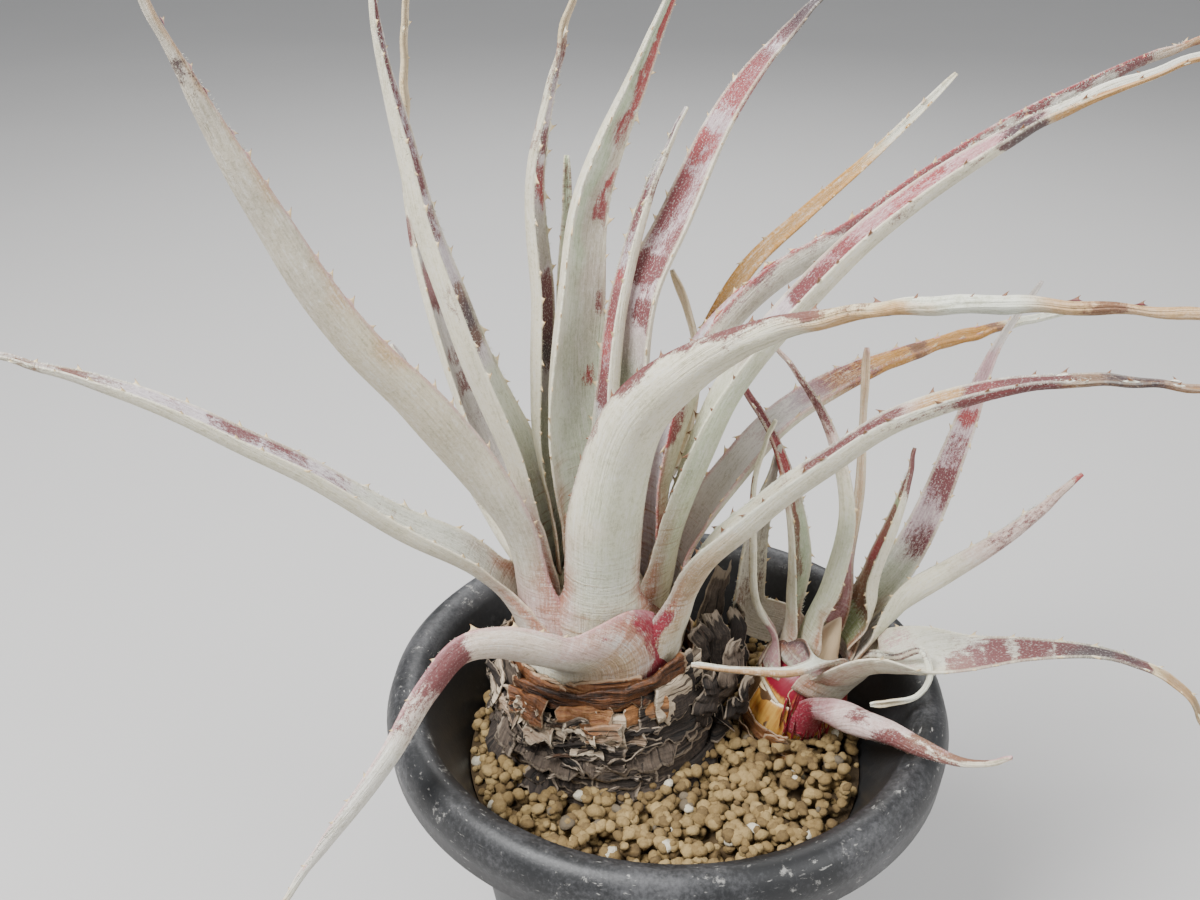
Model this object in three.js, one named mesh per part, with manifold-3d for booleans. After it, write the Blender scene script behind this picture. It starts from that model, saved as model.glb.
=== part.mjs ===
// A potted hechtia: a spiny bromeliad with one large rosette and one offset, in a black plastic
// nursery pot filled with clay granules.
// Units are millimetres and +Z is up. The origin is the middle of the pot's flat underside.
// The offset stands to the right (+X) of the main stem, and -Y is the front.

import * as THREE from "three";
import { mergeVertices } from "three/addons/utils/BufferGeometryUtils.js";
import Module from "manifold-3d";

const wasm = await Module();
wasm.setup();

// Clearance between neighbouring solids
const GAP = 0.3;
const WELD = 1e-4;
// Edges shorter than this are folded away after a cut
const SLIVER = 0.06;

// Pot: a number five nursery pot, 150 mm across its rolled rim
const POT = {
  sides: 44,
  baseRadius: 43,
  soilLineRadius: 56.5,
  wall: 2.1,
  floor: 3,
  rimRadius: 75,
  rimTop: 117.5,
};
// The rolled rim's section as offsets from its radius and top: up the outer face of the wall,
// down inside the hollow roll, up its outer face and over the crest to the inner lip
const RIM_SECTION = [
  [-9.4, -8], [-6, -2], [-3.4, -3.6], [-2, -7], [-2.4, -14.1], [-0.6, -14.1],
  [0, -7], [-1.4, -2.8], [-3.6, -0.5], [-6, 0], [-9.4, -1.6], [-11, -5],
];
const DRAIN = { holes: 6, ring: 27, radius: 4.5, sides: 8 };

// Soil: granules about 5 mm across, drawn as peaks and valleys on a web of rings
const SOIL = {
  top: 92,
  rings: 16,
  peak: 1.5,
  peakSpread: 0.7,
  valley: -0.5,
  valleySpread: 0.35,
  clearance: 0.45,
  seed: 11,
};
// Lowest height of the dead leaves that lie on the soil
const SOIL_CLEAR = 94.5;

// Leaf sections are channels: COLUMNS points across each face
const COLUMNS = [-1, -1 / 3, 1 / 3, 1];
const LEAF = {
  sheathHalf: 0.42,
  edgeHalf: 0.34,
  tipHalf: 0.4,
  rise: 9,
  riseOut: 1.2,
  sheathEnd: 0.2,
  neckEnd: 0.13, // where the sheath has narrowed to the blade
  bladeStart: 0.28,
  taper: 0.6,
  dryFrom: 0.86,
  dryWidth: 1.5,
  dryFade: 0.12,
  dryEnd: 0.3,
  twistStart: 0.1,
  twistEnd: 0.4,
  toothFirst: 0.2,
  toothLast: 0.92,
  toothLean: 0.35,
};
// Rings of a leaf as fractions of its length: the sheath's, and those of a blade with no teeth
const SHEATH_RINGS = [0, 0.045, 0.09, 0.14];
const PLAIN_RINGS = [0.22, 0.35, 0.48, 0.6, 0.72, 0.84, 0.93];
const MAIN_LEAF = { wrap: 1.15, channel: 1.2, bladeHalf: 1.4, tooth: 2.2, toothBase: 1.1 };
const PUP_LEAF = { wrap: 1.0, channel: 1.1, bladeHalf: 1, tooth: 1.8, toothBase: 0.9 };

// Finishes
const FINISH = {
  plastic: [0x2b2d31, 0.45],
  soil: [0xb8975f, 0.95],
  deadBase: [0x584c45, 0.95],
  tanBase: [0xcbb193, 0.9],
  brownSheath: [0x9a5a2c, 0.8],
  leaf: [0xcac5ba, 0.8],
  greenLeaf: [0xbccbb0, 0.8],
  banded: [0x9c6f78, 0.8],
  dry: [0xc99550, 0.85],
  bulb: [0xd99a3a, 0.6],
  pinkLeaf: [0xc58a96, 0.75],
};

// Stems: a foot, a direction, and a radius at each distance along it
const MAIN_STEM = {
  foot: new THREE.Vector3(-18, 8, 0),
  direction: new THREE.Vector3(0, 0, 1),
  sides: 24,
  profile: [
    [64, 9],
    [78, 15],
    [88, 20],
    [93, 24.6],
    [100, 25.4],
    [110, 24.8],
    [114, 23],
    [122, 22.6],
    [126, 21.8],
    [132, 18.6],
    [140, 13.2],
    [148, 8.6],
    [155, 5],
    [160, 1.6],
  ],
};
const PUP_STEM = {
  foot: new THREE.Vector3(29.5, 9.5, 84),
  direction: new THREE.Vector3(0.36, -0.03, 0.93).normalize(),
  sides: 18,
  profile: [
    [0, 5],
    [6, 9],
    [10, 11.6],
    [18, 12.8],
    [26, 12.2],
    [33, 9.4],
    [40, 6],
    [46, 3],
    [49, 1],
  ],
};

// Leaves of the main rosette from the innermost out. seat is [azimuth in degrees, height on the
// stem]; path is the free blade's centre line; base and blade are half widths round the section;
// twist turns the blade about its own line, wrap and channel are half the arc of the section at the
// base and in the blade, and dry is [where the dry tip starts, its half width].
const MAIN_LEAVES = [
  {
    name: "leaf_back_slim",
    seat: [58, 153],
    path: [[-16, 15, 186], [-15, 18, 204], [-10, 25, 230], [-4, 31, 247], [3, 36, 260]],
    base: 7,
    blade: 6,
    teeth: 4,
    twist: -40,
    finish: "banded",
  },
  {
    name: "leaf_center",
    seat: [105, 149],
    path: [[-22, 16, 172], [-24, 18, 193], [-23, 21, 216], [-20, 25, 240], [-9, 31, 268], [4, 38, 299]],
    base: 11,
    blade: 11,
    taper: 0.95,
    twist: 25,
    channel: 1,
    dry: [0.9, 2],
    teeth: 7,
    finish: "leaf",
  },
  {
    name: "leaf_back_mottled",
    seat: [48, 146],
    path: [[-10, 17, 190], [-8, 20, 217], [1, 30, 234], [16, 49, 259], [39, 75, 278], [50, 89, 286]],
    base: 10,
    blade: 7.2,
    channel: 1,
    dry: [0.8, 2],
    teeth: 7,
    finish: "banded",
  },
  {
    name: "leaf_back_narrow",
    seat: [138, 143.5],
    path: [[-32, 22, 180], [-32, 25, 215], [-33, 27, 245], [-26, 25, 278], [-21, 21, 294]],
    base: 9,
    blade: 6.6,
    twist: 22,
    dry: [0.8, 1.5],
    teeth: 6,
    finish: "banded",
  },
  {
    name: "leaf_back_short",
    seat: [102, 141.5],
    path: [[-25, 26, 187], [-27, 31, 213], [-26, 35, 237], [-26, 37, 248]],
    base: 8,
    blade: 3.4,
    teeth: 3,
    finish: "leaf",
  },
  {
    name: "leaf_left_tall",
    seat: [170, 139.5],
    path: [[-39, 13, 178], [-44, 14, 192], [-53, 15, 219], [-59, 17, 239], [-65, 18, 268], [-69, 19, 300]],
    base: 13,
    blade: 11,
    twist: 10,
    dry: [0.85, 1.8],
    teeth: 8,
    finish: "leaf",
  },
  {
    name: "leaf_left_banded",
    seat: [146, 137.5],
    path: [[-45, 25, 167], [-54, 30, 191], [-60, 34, 214], [-64, 37, 237], [-65, 37, 261], [-61, 35, 293]],
    base: 13,
    blade: 8,
    dry: [0.7, 1.5],
    teeth: 7,
    finish: "banded",
  },
  {
    name: "leaf_right_upper",
    seat: [22, 136],
    path: [
      [-2, 13, 174], [7, 15, 205], [22, 18, 223], [44, 23, 235], [72, 31, 252],
      [112, 40, 270], [144, 48, 279],
    ],
    base: 14,
    blade: 10,
    twist: -38,
    teeth: 8,
    finish: "leaf",
  },
  {
    name: "leaf_right_middle",
    seat: [348, 134.5],
    path: [
      [2, 4, 162], [8, 3, 189], [17, 2, 208], [42, -1, 241], [73, -5, 267], [103, -9, 281], [114, -10, 285],
    ],
    base: 15,
    blade: 9.8,
    taper: 0.75,
    twist: 8,
    dry: [0.8, 1.8],
    teeth: 8,
    finish: "greenLeaf",
  },
  {
    name: "leaf_back_thread",
    seat: [62, 133.5],
    path: [[4, 24, 175], [7, 25, 198], [4, 26, 212], [0, 27, 222]],
    base: 6,
    blade: 1.6,
    teeth: 0,
    finish: "leaf",
  },
  {
    name: "leaf_left_hidden",
    seat: [170, 132],
    path: [[-47, 18, 158], [-56, 21, 175], [-64, 24, 189], [-71, 27, 202]],
    base: 9,
    blade: 3.4,
    teeth: 2,
    finish: "pinkLeaf",
  },
  {
    name: "leaf_front",
    seat: [272, 132],
    path: [
      [-17, -14, 161], [-16, -16, 178], [-10, -19, 203], [1, -24, 218], [14, -30, 229],
      [28, -36, 236], [54, -49, 244], [96, -69, 250],
    ],
    base: 22,
    blade: 11.5,
    taper: 1,
    neck: 0.1,
    dry: [0.52, 2.6],
    teeth: 8,
    finish: "leaf",
  },
  {
    name: "leaf_left_arching",
    seat: [206, 130.5],
    path: [
      [-40, -3, 166], [-57, -15, 203], [-71, -23, 226], [-84, -30, 256], [-93, -36, 284],
      [-100, -40, 306],
    ],
    base: 20,
    blade: 9.5,
    twist: 45,
    teeth: 8,
    finish: "leaf",
  },
  {
    name: "leaf_back_dry",
    seat: [70, 129.5],
    path: [[-4, 34, 160], [7, 36, 192], [20, 42, 216], [36, 52, 228], [56, 67, 240], [80, 85, 257]],
    base: 15,
    blade: 3.4,
    teeth: 4,
    finish: "dry",
  },
  {
    name: "leaf_right_back",
    seat: [24, 128.5],
    path: [[12, 20, 159], [29, 27, 179], [50, 35, 190], [72, 44, 194], [98, 55, 196], [127, 67, 196]],
    base: 21,
    blade: 7,
    dry: [0.55, 2.6],
    teeth: 5,
    finish: "dry",
  },
  {
    name: "leaf_left_low",
    seat: [190, 127],
    path: [[-50, 1, 152], [-67, -2, 166], [-96, -9, 190], [-126, -15, 210], [-158, -21, 223]],
    base: 23,
    blade: 8.8,
    twist: 10,
    teeth: 8,
    finish: "leaf",
  },
  {
    name: "leaf_right_low",
    seat: [334, 125],
    path: [
      [9, -4, 157], [21, -8, 174], [35, -13, 190], [50, -19, 205], [77, -30, 219],
      [103, -41, 223], [112, -45, 222],
    ],
    base: 26,
    blade: 9,
    taper: 0.8,
    dry: [0.78, 1.8],
    twist: 3,
    teeth: 8,
    finish: "leaf",
  },
  {
    name: "leaf_left_drooping",
    seat: [264, 123],
    wrap: 1.35,
    path: [
      [-30, -23, 141], [-42, -27, 148], [-51, -31, 149], [-58, -38, 143], [-66, -47, 132],
      [-81, -61, 116], [-94, -75, 103],
    ],
    base: 31,
    blade: 8,
    neck: 0.2,
    teeth: 6,
    finish: "pinkLeaf",
  },
];

// Leaves of the offset from the innermost out; here seat's second number is along its stem
const PUP_LEAVES = [
  {
    name: "pup_leaf_needle",
    seat: [80, 43],
    path: [[49, 15, 144], [51, 19, 163], [51, 24, 181], [51, 29, 200]],
    base: 4,
    blade: 1.8,
    teeth: 0,
    finish: "dry",
  },
  {
    name: "pup_leaf_short",
    seat: [30, 41],
    path: [[55, 11, 143], [59, 13, 155], [62, 16, 165], [64, 19, 176]],
    base: 6,
    blade: 6.5,
    twist: -40,
    teeth: 3,
    finish: "leaf",
  },
  {
    name: "pup_leaf_curving",
    seat: [190, 38.5],
    path: [[43, 5, 144], [45, 5, 164], [42, 8, 180], [37, 12, 191], [24, 20, 207]],
    base: 7,
    blade: 4.6,
    teeth: 6,
    finish: "greenLeaf",
  },
  {
    name: "pup_leaf_banded",
    seat: [48, 36.5],
    path: [[63, 18, 138], [72, 25, 152], [79, 31, 171], [87, 37, 196], [99, 45, 212]],
    base: 9,
    blade: 5.4,
    channel: 1,
    dry: [0.75, 1.2],
    teeth: 6,
    finish: "banded",
  },
  {
    name: "pup_leaf_right",
    seat: [5, 34.5],
    path: [[64, 10, 134], [76, 13, 141], [91, 16, 151], [110, 21, 167]],
    base: 9,
    blade: 5.6,
    twist: -80,
    teeth: 5,
    finish: "leaf",
  },
  {
    name: "pup_leaf_dark",
    seat: [165, 32],
    path: [[35, 11, 142], [33, 12, 162], [27, 14, 180], [17, 18, 197]],
    base: 9,
    blade: 7,
    taper: 1.2,
    twist: -20,
    teeth: 5,
    finish: "banded",
  },
  {
    name: "pup_leaf_hook",
    seat: [345, 33],
    path: [[60, -6, 128], [65, -9, 132], [67, -13, 127], [64, -14, 121], [52, -15, 119]],
    base: 4,
    blade: 1.1,
    teeth: 0,
    finish: "dry",
  },
  {
    name: "pup_leaf_low_right",
    seat: [318, 29],
    path: [
      [54, -4, 124], [66, -5, 127], [78, -7, 129], [92, -9, 132], [109, -14, 135], [122, -19, 133],
      [131, -22, 126], [137, -25, 115],
    ],
    base: 17,
    blade: 9.5,
    taper: 2,
    wrap: 1.2,
    neck: 0.4,
    channel: 1,
    twist: 60,
    dry: [0.7, 1.6],
    teeth: 6,
    finish: "pinkLeaf",
  },
  {
    name: "pup_leaf_strip",
    seat: [182, 27],
    path: [[24, 8, 136], [22, 7, 155], [22, 8, 175], [26, 10, 189]],
    base: 7,
    blade: 1.8,
    teeth: 0,
    finish: "dry",
  },
  {
    name: "pup_leaf_broad",
    seat: [120, 23],
    path: [[24, 19, 124], [23, 17, 138], [25, 15, 160], [28, 13, 180]],
    base: 12,
    blade: 6.5,
    channel: 0.7,
    teeth: 2,
    finish: "leaf",
  },
  {
    name: "pup_leaf_curled",
    seat: [248, 33],
    path: [[38, -8, 127], [30, -14, 129], [18, -17, 132], [5, -20, 136]],
    base: 14,
    blade: 2,
    neck: 0.32,
    wrap: 1.1,
    teeth: 0,
    finish: "pinkLeaf",
  },
  {
    name: "pup_leaf_low_front",
    seat: [276, 17],
    path: [[44, -10, 111], [54, -25, 119], [60, -34, 122], [69, -43, 125], [76, -51, 134]],
    base: 11,
    blade: 6,
    taper: 0.9,
    wrap: 1.4,
    channel: 1.5,
    twist: -100,
    dry: [0.75, 1.2],
    teeth: 3,
    finish: "banded",
  },
];

// Dead leaf bases round the foot of the main stem: tiers of wrapped strips
const STRIPS = {
  seed: 5,
  tiers: [
    { height: 96.5, radius: 25.2, count: 5 },
    { height: 101.5, radius: 25.6, count: 5 },
    { height: 107, radius: 25.2, count: 5 },
  ],
  span: 95,
  steps: 4,
  innerRadius: 22.4,
  halfHeight: 4.2,
  taper: 0.35,
  proud: 0.9,
  lift: 3.2,
  slope: 4,
  top: 110.2,
  spread: { turn: 0.3, height: 1, radius: 0.4 },
};
// Longer strips that sweep from the front towards the offset
const SWEEPS = [
  { azimuth: 322, height: 97, radius: 26.5, lift: 7 },
  { azimuth: 318, height: 104, radius: 26, lift: 6 },
  { azimuth: 345, height: 108, radius: 25, lift: 5 },
];
// Dried scraps that stand up between the two stems: centre lines from inside the main stem
const SCRAPS = {
  halfWidth: 4,
  halfThickness: 0.7,
  taper: 0.18,
  paths: [
    [[4, 3, 98], [11.5, 3, 107], [13.5, 3, 118], [14, 4, 129], [12.5, 6, 139]],
    [[4, 8, 97], [12.5, 8, 106], [16.5, 9, 117], [18, 10, 128], [16.5, 11, 136]],
    [[4, 13, 98], [11.5, 14, 107], [14, 15, 119], [15, 16, 132], [16, 16, 143]],
  ],
};

// Closed bands round the stem: [radius, height] of the bottom and top of the inner face
const TAN_BAND = {
  bottom: [25.3, 111.4],
  top: [26.4, 118],
  thickness: 1.3,
  wave: 1.3,
  lobes: 7,
  sides: 26,
};
const BROWN_BAND = {
  bottom: [23.4, 115.2],
  top: [25.1, 125.4],
  thickness: 0.9,
  wave: 1.2,
  lobes: 5,
  sides: 26,
};
const STUBS = [
  { azimuth: 268, height: 114, width: 8 },
  { azimuth: 306, height: 116, width: 7 },
  { azimuth: 210, height: 115, width: 6 },
];
const STUB = { length: 7, thickness: 1.6, lean: 18 };
const PUP_BAND = { bottom: [12.1, 9.4], top: [13.4, 13], thickness: 0.8, wave: 0.9, lobes: 3, sides: 20 };
const PUP_FLAP = { azimuth: 268, along: 11.5, width: 8, length: 7, lean: 28 };

const UP = new THREE.Vector3(0, 0, 1);
const smooth = (from, to, value) => THREE.MathUtils.smoothstep(value, from, to);
const mix = THREE.MathUtils.lerp;

// A repeatable random number from 0 to 1
function seededRandom(seed) {
  let state = seed;
  return () => {
    state = (state * 16807) % 2147483647;
    return state / 2147483647;
  };
}

// A solid from plain points and triangles
function solidFromPoints(points, triangles) {
  const vertProperties = new Float32Array(points.flatMap((p) => [p.x, p.y, p.z]));
  const triVerts = new Uint32Array(triangles.flat());
  return new wasm.Manifold(new wasm.Mesh({ numProp: 3, vertProperties, triVerts }));
}

// A solid from a three.js geometry whose seams are welded first
function solidFromGeometry(geometry) {
  const bare = geometry.clone();
  bare.deleteAttribute("normal");
  bare.deleteAttribute("uv");
  const merged = mergeVertices(bare, WELD);
  return new wasm.Manifold(
    new wasm.Mesh({
      numProp: 3,
      vertProperties: new Float32Array(merged.attributes.position.array),
      triVerts: new Uint32Array(merged.index.array),
    }),
  );
}

// A named mesh from a solid
function meshOf(name, solid, finish) {
  const { vertProperties, triVerts } = solid.getMesh();
  const geometry = new THREE.BufferGeometry();
  geometry.setAttribute("position", new THREE.BufferAttribute(vertProperties, 3));
  geometry.setIndex(new THREE.BufferAttribute(triVerts, 1));
  geometry.computeVertexNormals();
  const [color, roughness] = FINISH[finish];
  const material = new THREE.MeshStandardMaterial({ color, roughness, metalness: 0, flatShading: true });
  const mesh = new THREE.Mesh(geometry, material);
  mesh.name = name;
  return mesh;
}

// The largest body of a solid that a cut may have split
function largestBody(solid) {
  const bodies = solid.decompose();
  return bodies.reduce((best, body) => (body.volume() > best.volume() ? body : best));
}

// A turned solid about +Z; the profile runs from the axis at the bottom to the axis at the top
function turned(profile, sides) {
  const points = profile.map(([radius, height]) => new THREE.Vector2(radius, height));
  const geometry = new THREE.LatheGeometry(points, sides);
  geometry.rotateX(Math.PI / 2);
  return solidFromGeometry(geometry);
}

// Radius of a stem at a distance along it
function stemRadius(stem, along) {
  const { profile } = stem;
  const next = Math.max(1, profile.findIndex(([distance]) => distance >= along));
  const [[d0, r0], [d1, r1]] = [profile[next - 1], profile[next]];
  return mix(r0, r1, (along - d0) / (d1 - d0));
}

// A point beside the stem, with the outward direction there
function besideStem(stem, azimuth, along, clearance) {
  const angle = THREE.MathUtils.degToRad(azimuth);
  const outward = new THREE.Vector3(Math.cos(angle), Math.sin(angle), 0);
  outward.addScaledVector(stem.direction, -outward.dot(stem.direction)).normalize();
  const radius = stemRadius(stem, along) + clearance;
  const point = stem.foot.clone().addScaledVector(stem.direction, along).addScaledVector(outward, radius);
  return { point, outward };
}

// The stem's own turned body, made larger by grow
function stemSolid(stem, grow) {
  const bottom = stem.profile[0][0] - grow;
  const top = stem.profile.at(-1)[0] + grow;
  const rings = stem.profile.map(([along, radius]) => [radius + grow, along]);
  const ends = [[rings[0][0], bottom], [rings.at(-1)[0], top]];
  const profile = [[0, bottom], ends[0], ...rings.slice(1, -1), ends[1], [0, top]];
  const turn = new THREE.Quaternion().setFromUnitVectors(UP, stem.direction);
  const place = new THREE.Matrix4().makeRotationFromQuaternion(turn).setPosition(stem.foot);
  return turned(profile, stem.sides).transform(place.elements);
}

// Points and frames along a leaf's centre line, from its seat on the stem to its tip
function leafSpine(stem, leaf) {
  const [azimuth, along] = leaf.seat;
  const clearance = GAP + LEAF.sheathHalf;
  const seat = besideStem(stem, azimuth, along, clearance);
  const rise = seat.point.clone().addScaledVector(stem.direction, LEAF.rise);
  rise.addScaledVector(seat.outward, LEAF.riseOut);
  const free = leaf.path.map(([x, y, z]) => new THREE.Vector3(x, y, z));
  const curve = new THREE.CatmullRomCurve3([seat.point, rise, ...free], false, "centripetal");
  return { curve, inward: seat.outward.clone().negate(), length: curve.getLength() };
}

// Where the rings of a leaf lie, as fractions of its length; a tooth stands on each marked pair
function leafStations(teeth, halfBase) {
  const plain = teeth === 0 ? [...SHEATH_RINGS, ...PLAIN_RINGS] : SHEATH_RINGS;
  const stations = plain.map((at) => ({ at, tooth: false }));
  for (let i = 0; i < teeth; i++) {
    const middle = mix(LEAF.toothFirst, LEAF.toothLast, i / (teeth - 1));
    stations.push({ at: middle - halfBase, tooth: true });
    stations.push({ at: middle + halfBase, tooth: false });
  }
  return stations;
}

// Half width round the section and curl of the section at a fraction of the length
function leafWidth(leaf, kind, at) {
  const { taper = LEAF.taper, dry = [LEAF.dryFrom, LEAF.dryWidth] } = leaf;
  const { wrap = kind.wrap, channel = kind.channel, neck = LEAF.neckEnd } = leaf;
  const [dryFrom, dryWidth] = dry;
  const free = Math.max(0, (at - LEAF.sheathEnd) / (1 - LEAF.sheathEnd));
  const green = leaf.blade * Math.pow(1 - free, taper);
  const thread = dryWidth * Math.pow((1 - at) / (1 - dryFrom), LEAF.dryEnd);
  const dried = smooth(dryFrom - LEAF.dryFade, dryFrom + LEAF.dryFade, at);
  const blade = mix(green, Math.min(thread, green + dryWidth), dried);
  const width = mix(leaf.base, blade, smooth(0, neck, at));
  const curl = mix(wrap, channel, smooth(0, LEAF.bladeStart, at));
  return { width, curl };
}

// Half thickness at a column of the section
function leafHalfThickness(kind, at, column) {
  const middle = mix(LEAF.sheathHalf, kind.bladeHalf, smooth(0.1, LEAF.bladeStart, at));
  const tapered = mix(middle, LEAF.tipHalf, smooth(0.5, 1, at));
  return Math.abs(column) === 1 ? LEAF.edgeHalf : tapered;
}

// The rings of a leaf: for each station the upper and the lower points across the section
function leafRings(spine, stations, leaf, kind, grow) {
  const { curve, inward } = spine;
  const normal = inward.clone();
  return stations.map(({ at, tooth }, index) => {
    const tangent = curve.getTangentAt(at);
    normal.addScaledVector(tangent, -normal.dot(tangent)).normalize();
    const turn = THREE.MathUtils.degToRad(leaf.twist ?? 0) * smooth(LEAF.twistStart, LEAF.twistEnd, at);
    const upward = normal.clone().applyAxisAngle(tangent, turn);
    const side = new THREE.Vector3().crossVectors(tangent, upward);
    const centre = curve.getPointAt(at);
    if (index === 0) centre.addScaledVector(tangent, -grow);
    const { width, curl } = leafWidth(leaf, kind, at);
    const radius = width / curl;
    const depth = radius * (1 - Math.cos(curl));
    centre.addScaledVector(upward, (-depth / 2) * smooth(0, LEAF.bladeStart, at));
    const place = (column, offset) => {
      const angle = ((column * (width + grow)) / width) * curl;
      return centre
        .clone()
        .addScaledVector(side, (radius - offset) * Math.sin(angle))
        .addScaledVector(upward, radius - (radius - offset) * Math.cos(angle));
    };
    const half = (column) => leafHalfThickness(kind, at, column) + grow;
    const upper = COLUMNS.map((column) => place(column, half(column)));
    const lower = COLUMNS.map((column) => place(column, -half(column)));
    return { upper, lower, tangent, tooth };
  });
}

// The points of a tooth on each margin between two rings
function toothTips(ring, next, height) {
  return [0, COLUMNS.length - 1].map((edge) => {
    const rows = [ring.upper, ring.lower, next.upper, next.lower];
    const root = new THREE.Vector3();
    rows.forEach((row) => root.addScaledVector(row[edge], 1 / rows.length));
    const inner = edge === 0 ? 1 : COLUMNS.length - 2;
    const outward = ring.upper[edge].clone().sub(ring.upper[inner]).normalize();
    return root.addScaledVector(outward, height).addScaledVector(ring.tangent, height * LEAF.toothLean);
  });
}

// A closed leaf: a lofted channel with toothed margins and a pointed tip.
// The faces are listed clockwise as seen from outside and turned round at the end.
function leafSolid(stem, leaf, kind, grow = 0) {
  const spine = leafSpine(stem, leaf);
  const stations = leafStations(leaf.teeth, (kind.toothBase + grow) / spine.length);
  const rings = leafRings(spine, stations, leaf, kind, grow);
  const bare = leafRings(spine, stations, leaf, kind, 0);
  const n = COLUMNS.length;
  const points = rings.flatMap(({ upper, lower }) => [...upper, ...lower]);
  const triangles = [];
  const up = (ring, column) => ring * 2 * n + column;
  const low = (ring, column) => ring * 2 * n + n + column;
  const quad = (a, b, c, d) => triangles.push([a, b, c], [a, c, d]);
  for (let i = 0; i < rings.length - 1; i++) {
    for (let j = 0; j < n - 1; j++) {
      quad(up(i, j), up(i + 1, j), up(i + 1, j + 1), up(i, j + 1));
      quad(low(i, j + 1), low(i + 1, j + 1), low(i + 1, j), low(i, j));
    }
    const margins = [
      [low(i, 0), low(i + 1, 0), up(i + 1, 0), up(i, 0)],
      [up(i, n - 1), up(i + 1, n - 1), low(i + 1, n - 1), low(i, n - 1)],
    ];
    if (!rings[i].tooth) {
      margins.forEach((corners) => quad(...corners));
      continue;
    }
    toothTips(bare[i], bare[i + 1], kind.tooth + 2 * grow).forEach((tip, k) => {
      const apex = points.push(tip) - 1;
      const corners = margins[k];
      corners.forEach((corner, c) => triangles.push([corner, corners[(c + 1) % 4], apex]));
    });
  }
  const end = rings.length - 1;
  const tip = points.push(spine.curve.getPointAt(1).addScaledVector(rings[end].tangent, grow)) - 1;
  for (let j = 0; j < n - 1; j++) {
    triangles.push([up(0, j), up(0, j + 1), low(0, j + 1)], [up(0, j), low(0, j + 1), low(0, j)]);
    triangles.push([up(end, j + 1), up(end, j), tip], [low(end, j), low(end, j + 1), tip]);
  }
  triangles.push([up(end, 0), low(end, 0), tip], [low(end, n - 1), up(end, n - 1), tip]);
  return solidFromPoints(points, triangles.map(([a, b, c]) => [a, c, b]));
}

// The pot: floor, tapered wall and a thick rim rolled outwards and down, open below
function potSolid() {
  const inside = (radius) => radius - POT.wall;
  const profile = [
    [0, 0],
    [POT.baseRadius, 0],
    [POT.soilLineRadius, SOIL.top],
    ...RIM_SECTION.map(([out, up]) => [POT.rimRadius + out, POT.rimTop + up]),
    [inside(POT.soilLineRadius), SOIL.top],
    [inside(POT.baseRadius), POT.floor],
    [0, POT.floor],
  ];
  let pot = turned(profile, POT.sides);
  for (let i = 0; i < DRAIN.holes; i++) {
    const angle = (i / DRAIN.holes) * 2 * Math.PI;
    const hole = new THREE.CylinderGeometry(DRAIN.radius, DRAIN.radius, POT.floor * 4, DRAIN.sides);
    hole.rotateX(Math.PI / 2);
    hole.translate(Math.cos(angle) * DRAIN.ring, Math.sin(angle) * DRAIN.ring, 0);
    pot = pot.subtract(solidFromGeometry(hole));
  }
  return pot;
}

// Height of the soil at a lattice point: every third point is a granule's crown
function granuleHeight(q, r, random) {
  const crown = (((q - r) % 3) + 3) % 3 === 0;
  const draw = random();
  if (crown) return SOIL.top + SOIL.peak + (draw * 2 - 1) * SOIL.peakSpread;
  return SOIL.top + SOIL.valley + (draw * 2 - 1) * SOIL.valleySpread;
}

// The soil: a tapered plug whose top is a web of granules
function soilSolid() {
  const random = seededRandom(SOIL.seed);
  const topRadius = POT.soilLineRadius - POT.wall - SOIL.clearance;
  const bottomRadius = POT.baseRadius - POT.wall - SOIL.clearance;
  const corners = [[1, 0], [0, 1], [-1, 1], [-1, 0], [0, -1], [1, -1]];
  const points = [new THREE.Vector3(0, 0, SOIL.top)];
  const starts = [0];
  for (let ring = 1; ring <= SOIL.rings; ring++) {
    starts.push(points.length);
    const outermost = ring === SOIL.rings;
    for (let i = 0; i < 6 * ring; i++) {
      const sector = Math.floor(i / ring);
      const step = i % ring;
      const [q0, r0] = corners[sector];
      const [q1, r1] = corners[(sector + 2) % 6];
      const height = granuleHeight(q0 * ring + q1 * step, r0 * ring + r1 * step, random);
      const angle = (i / (6 * ring)) * 2 * Math.PI;
      const radius = (ring / SOIL.rings) * topRadius;
      const z = outermost ? SOIL.top + SOIL.valley : height;
      points.push(new THREE.Vector3(Math.cos(angle) * radius, Math.sin(angle) * radius, z));
    }
  }
  const at = (ring, i) => (ring === 0 ? 0 : starts[ring] + (i % (6 * ring)));
  const triangles = [];
  for (let ring = 1; ring <= SOIL.rings; ring++) {
    for (let sector = 0; sector < 6; sector++) {
      for (let step = 0; step < ring; step++) {
        const outer = sector * ring + step;
        const inner = sector * (ring - 1) + step;
        const corner = at(ring, outer + 1);
        triangles.push([at(ring, outer), corner, at(ring - 1, inner)]);
        if (step < ring - 1) triangles.push([at(ring - 1, inner), corner, at(ring - 1, inner + 1)]);
      }
    }
  }
  const around = 6 * SOIL.rings;
  const foot = points.length;
  for (let i = 0; i < around; i++) {
    const angle = (i / around) * 2 * Math.PI;
    const floor = POT.floor + GAP;
    points.push(new THREE.Vector3(Math.cos(angle) * bottomRadius, Math.sin(angle) * bottomRadius, floor));
  }
  const centre = points.push(new THREE.Vector3(0, 0, POT.floor + GAP)) - 1;
  for (let i = 0; i < around; i++) {
    const next = (i + 1) % around;
    const [above, beside] = [at(SOIL.rings, i), at(SOIL.rings, next)];
    triangles.push([above, foot + i, foot + next], [above, foot + next, beside]);
    triangles.push([foot + i, centre, foot + next]);
  }
  return solidFromPoints(points, triangles);
}

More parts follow.
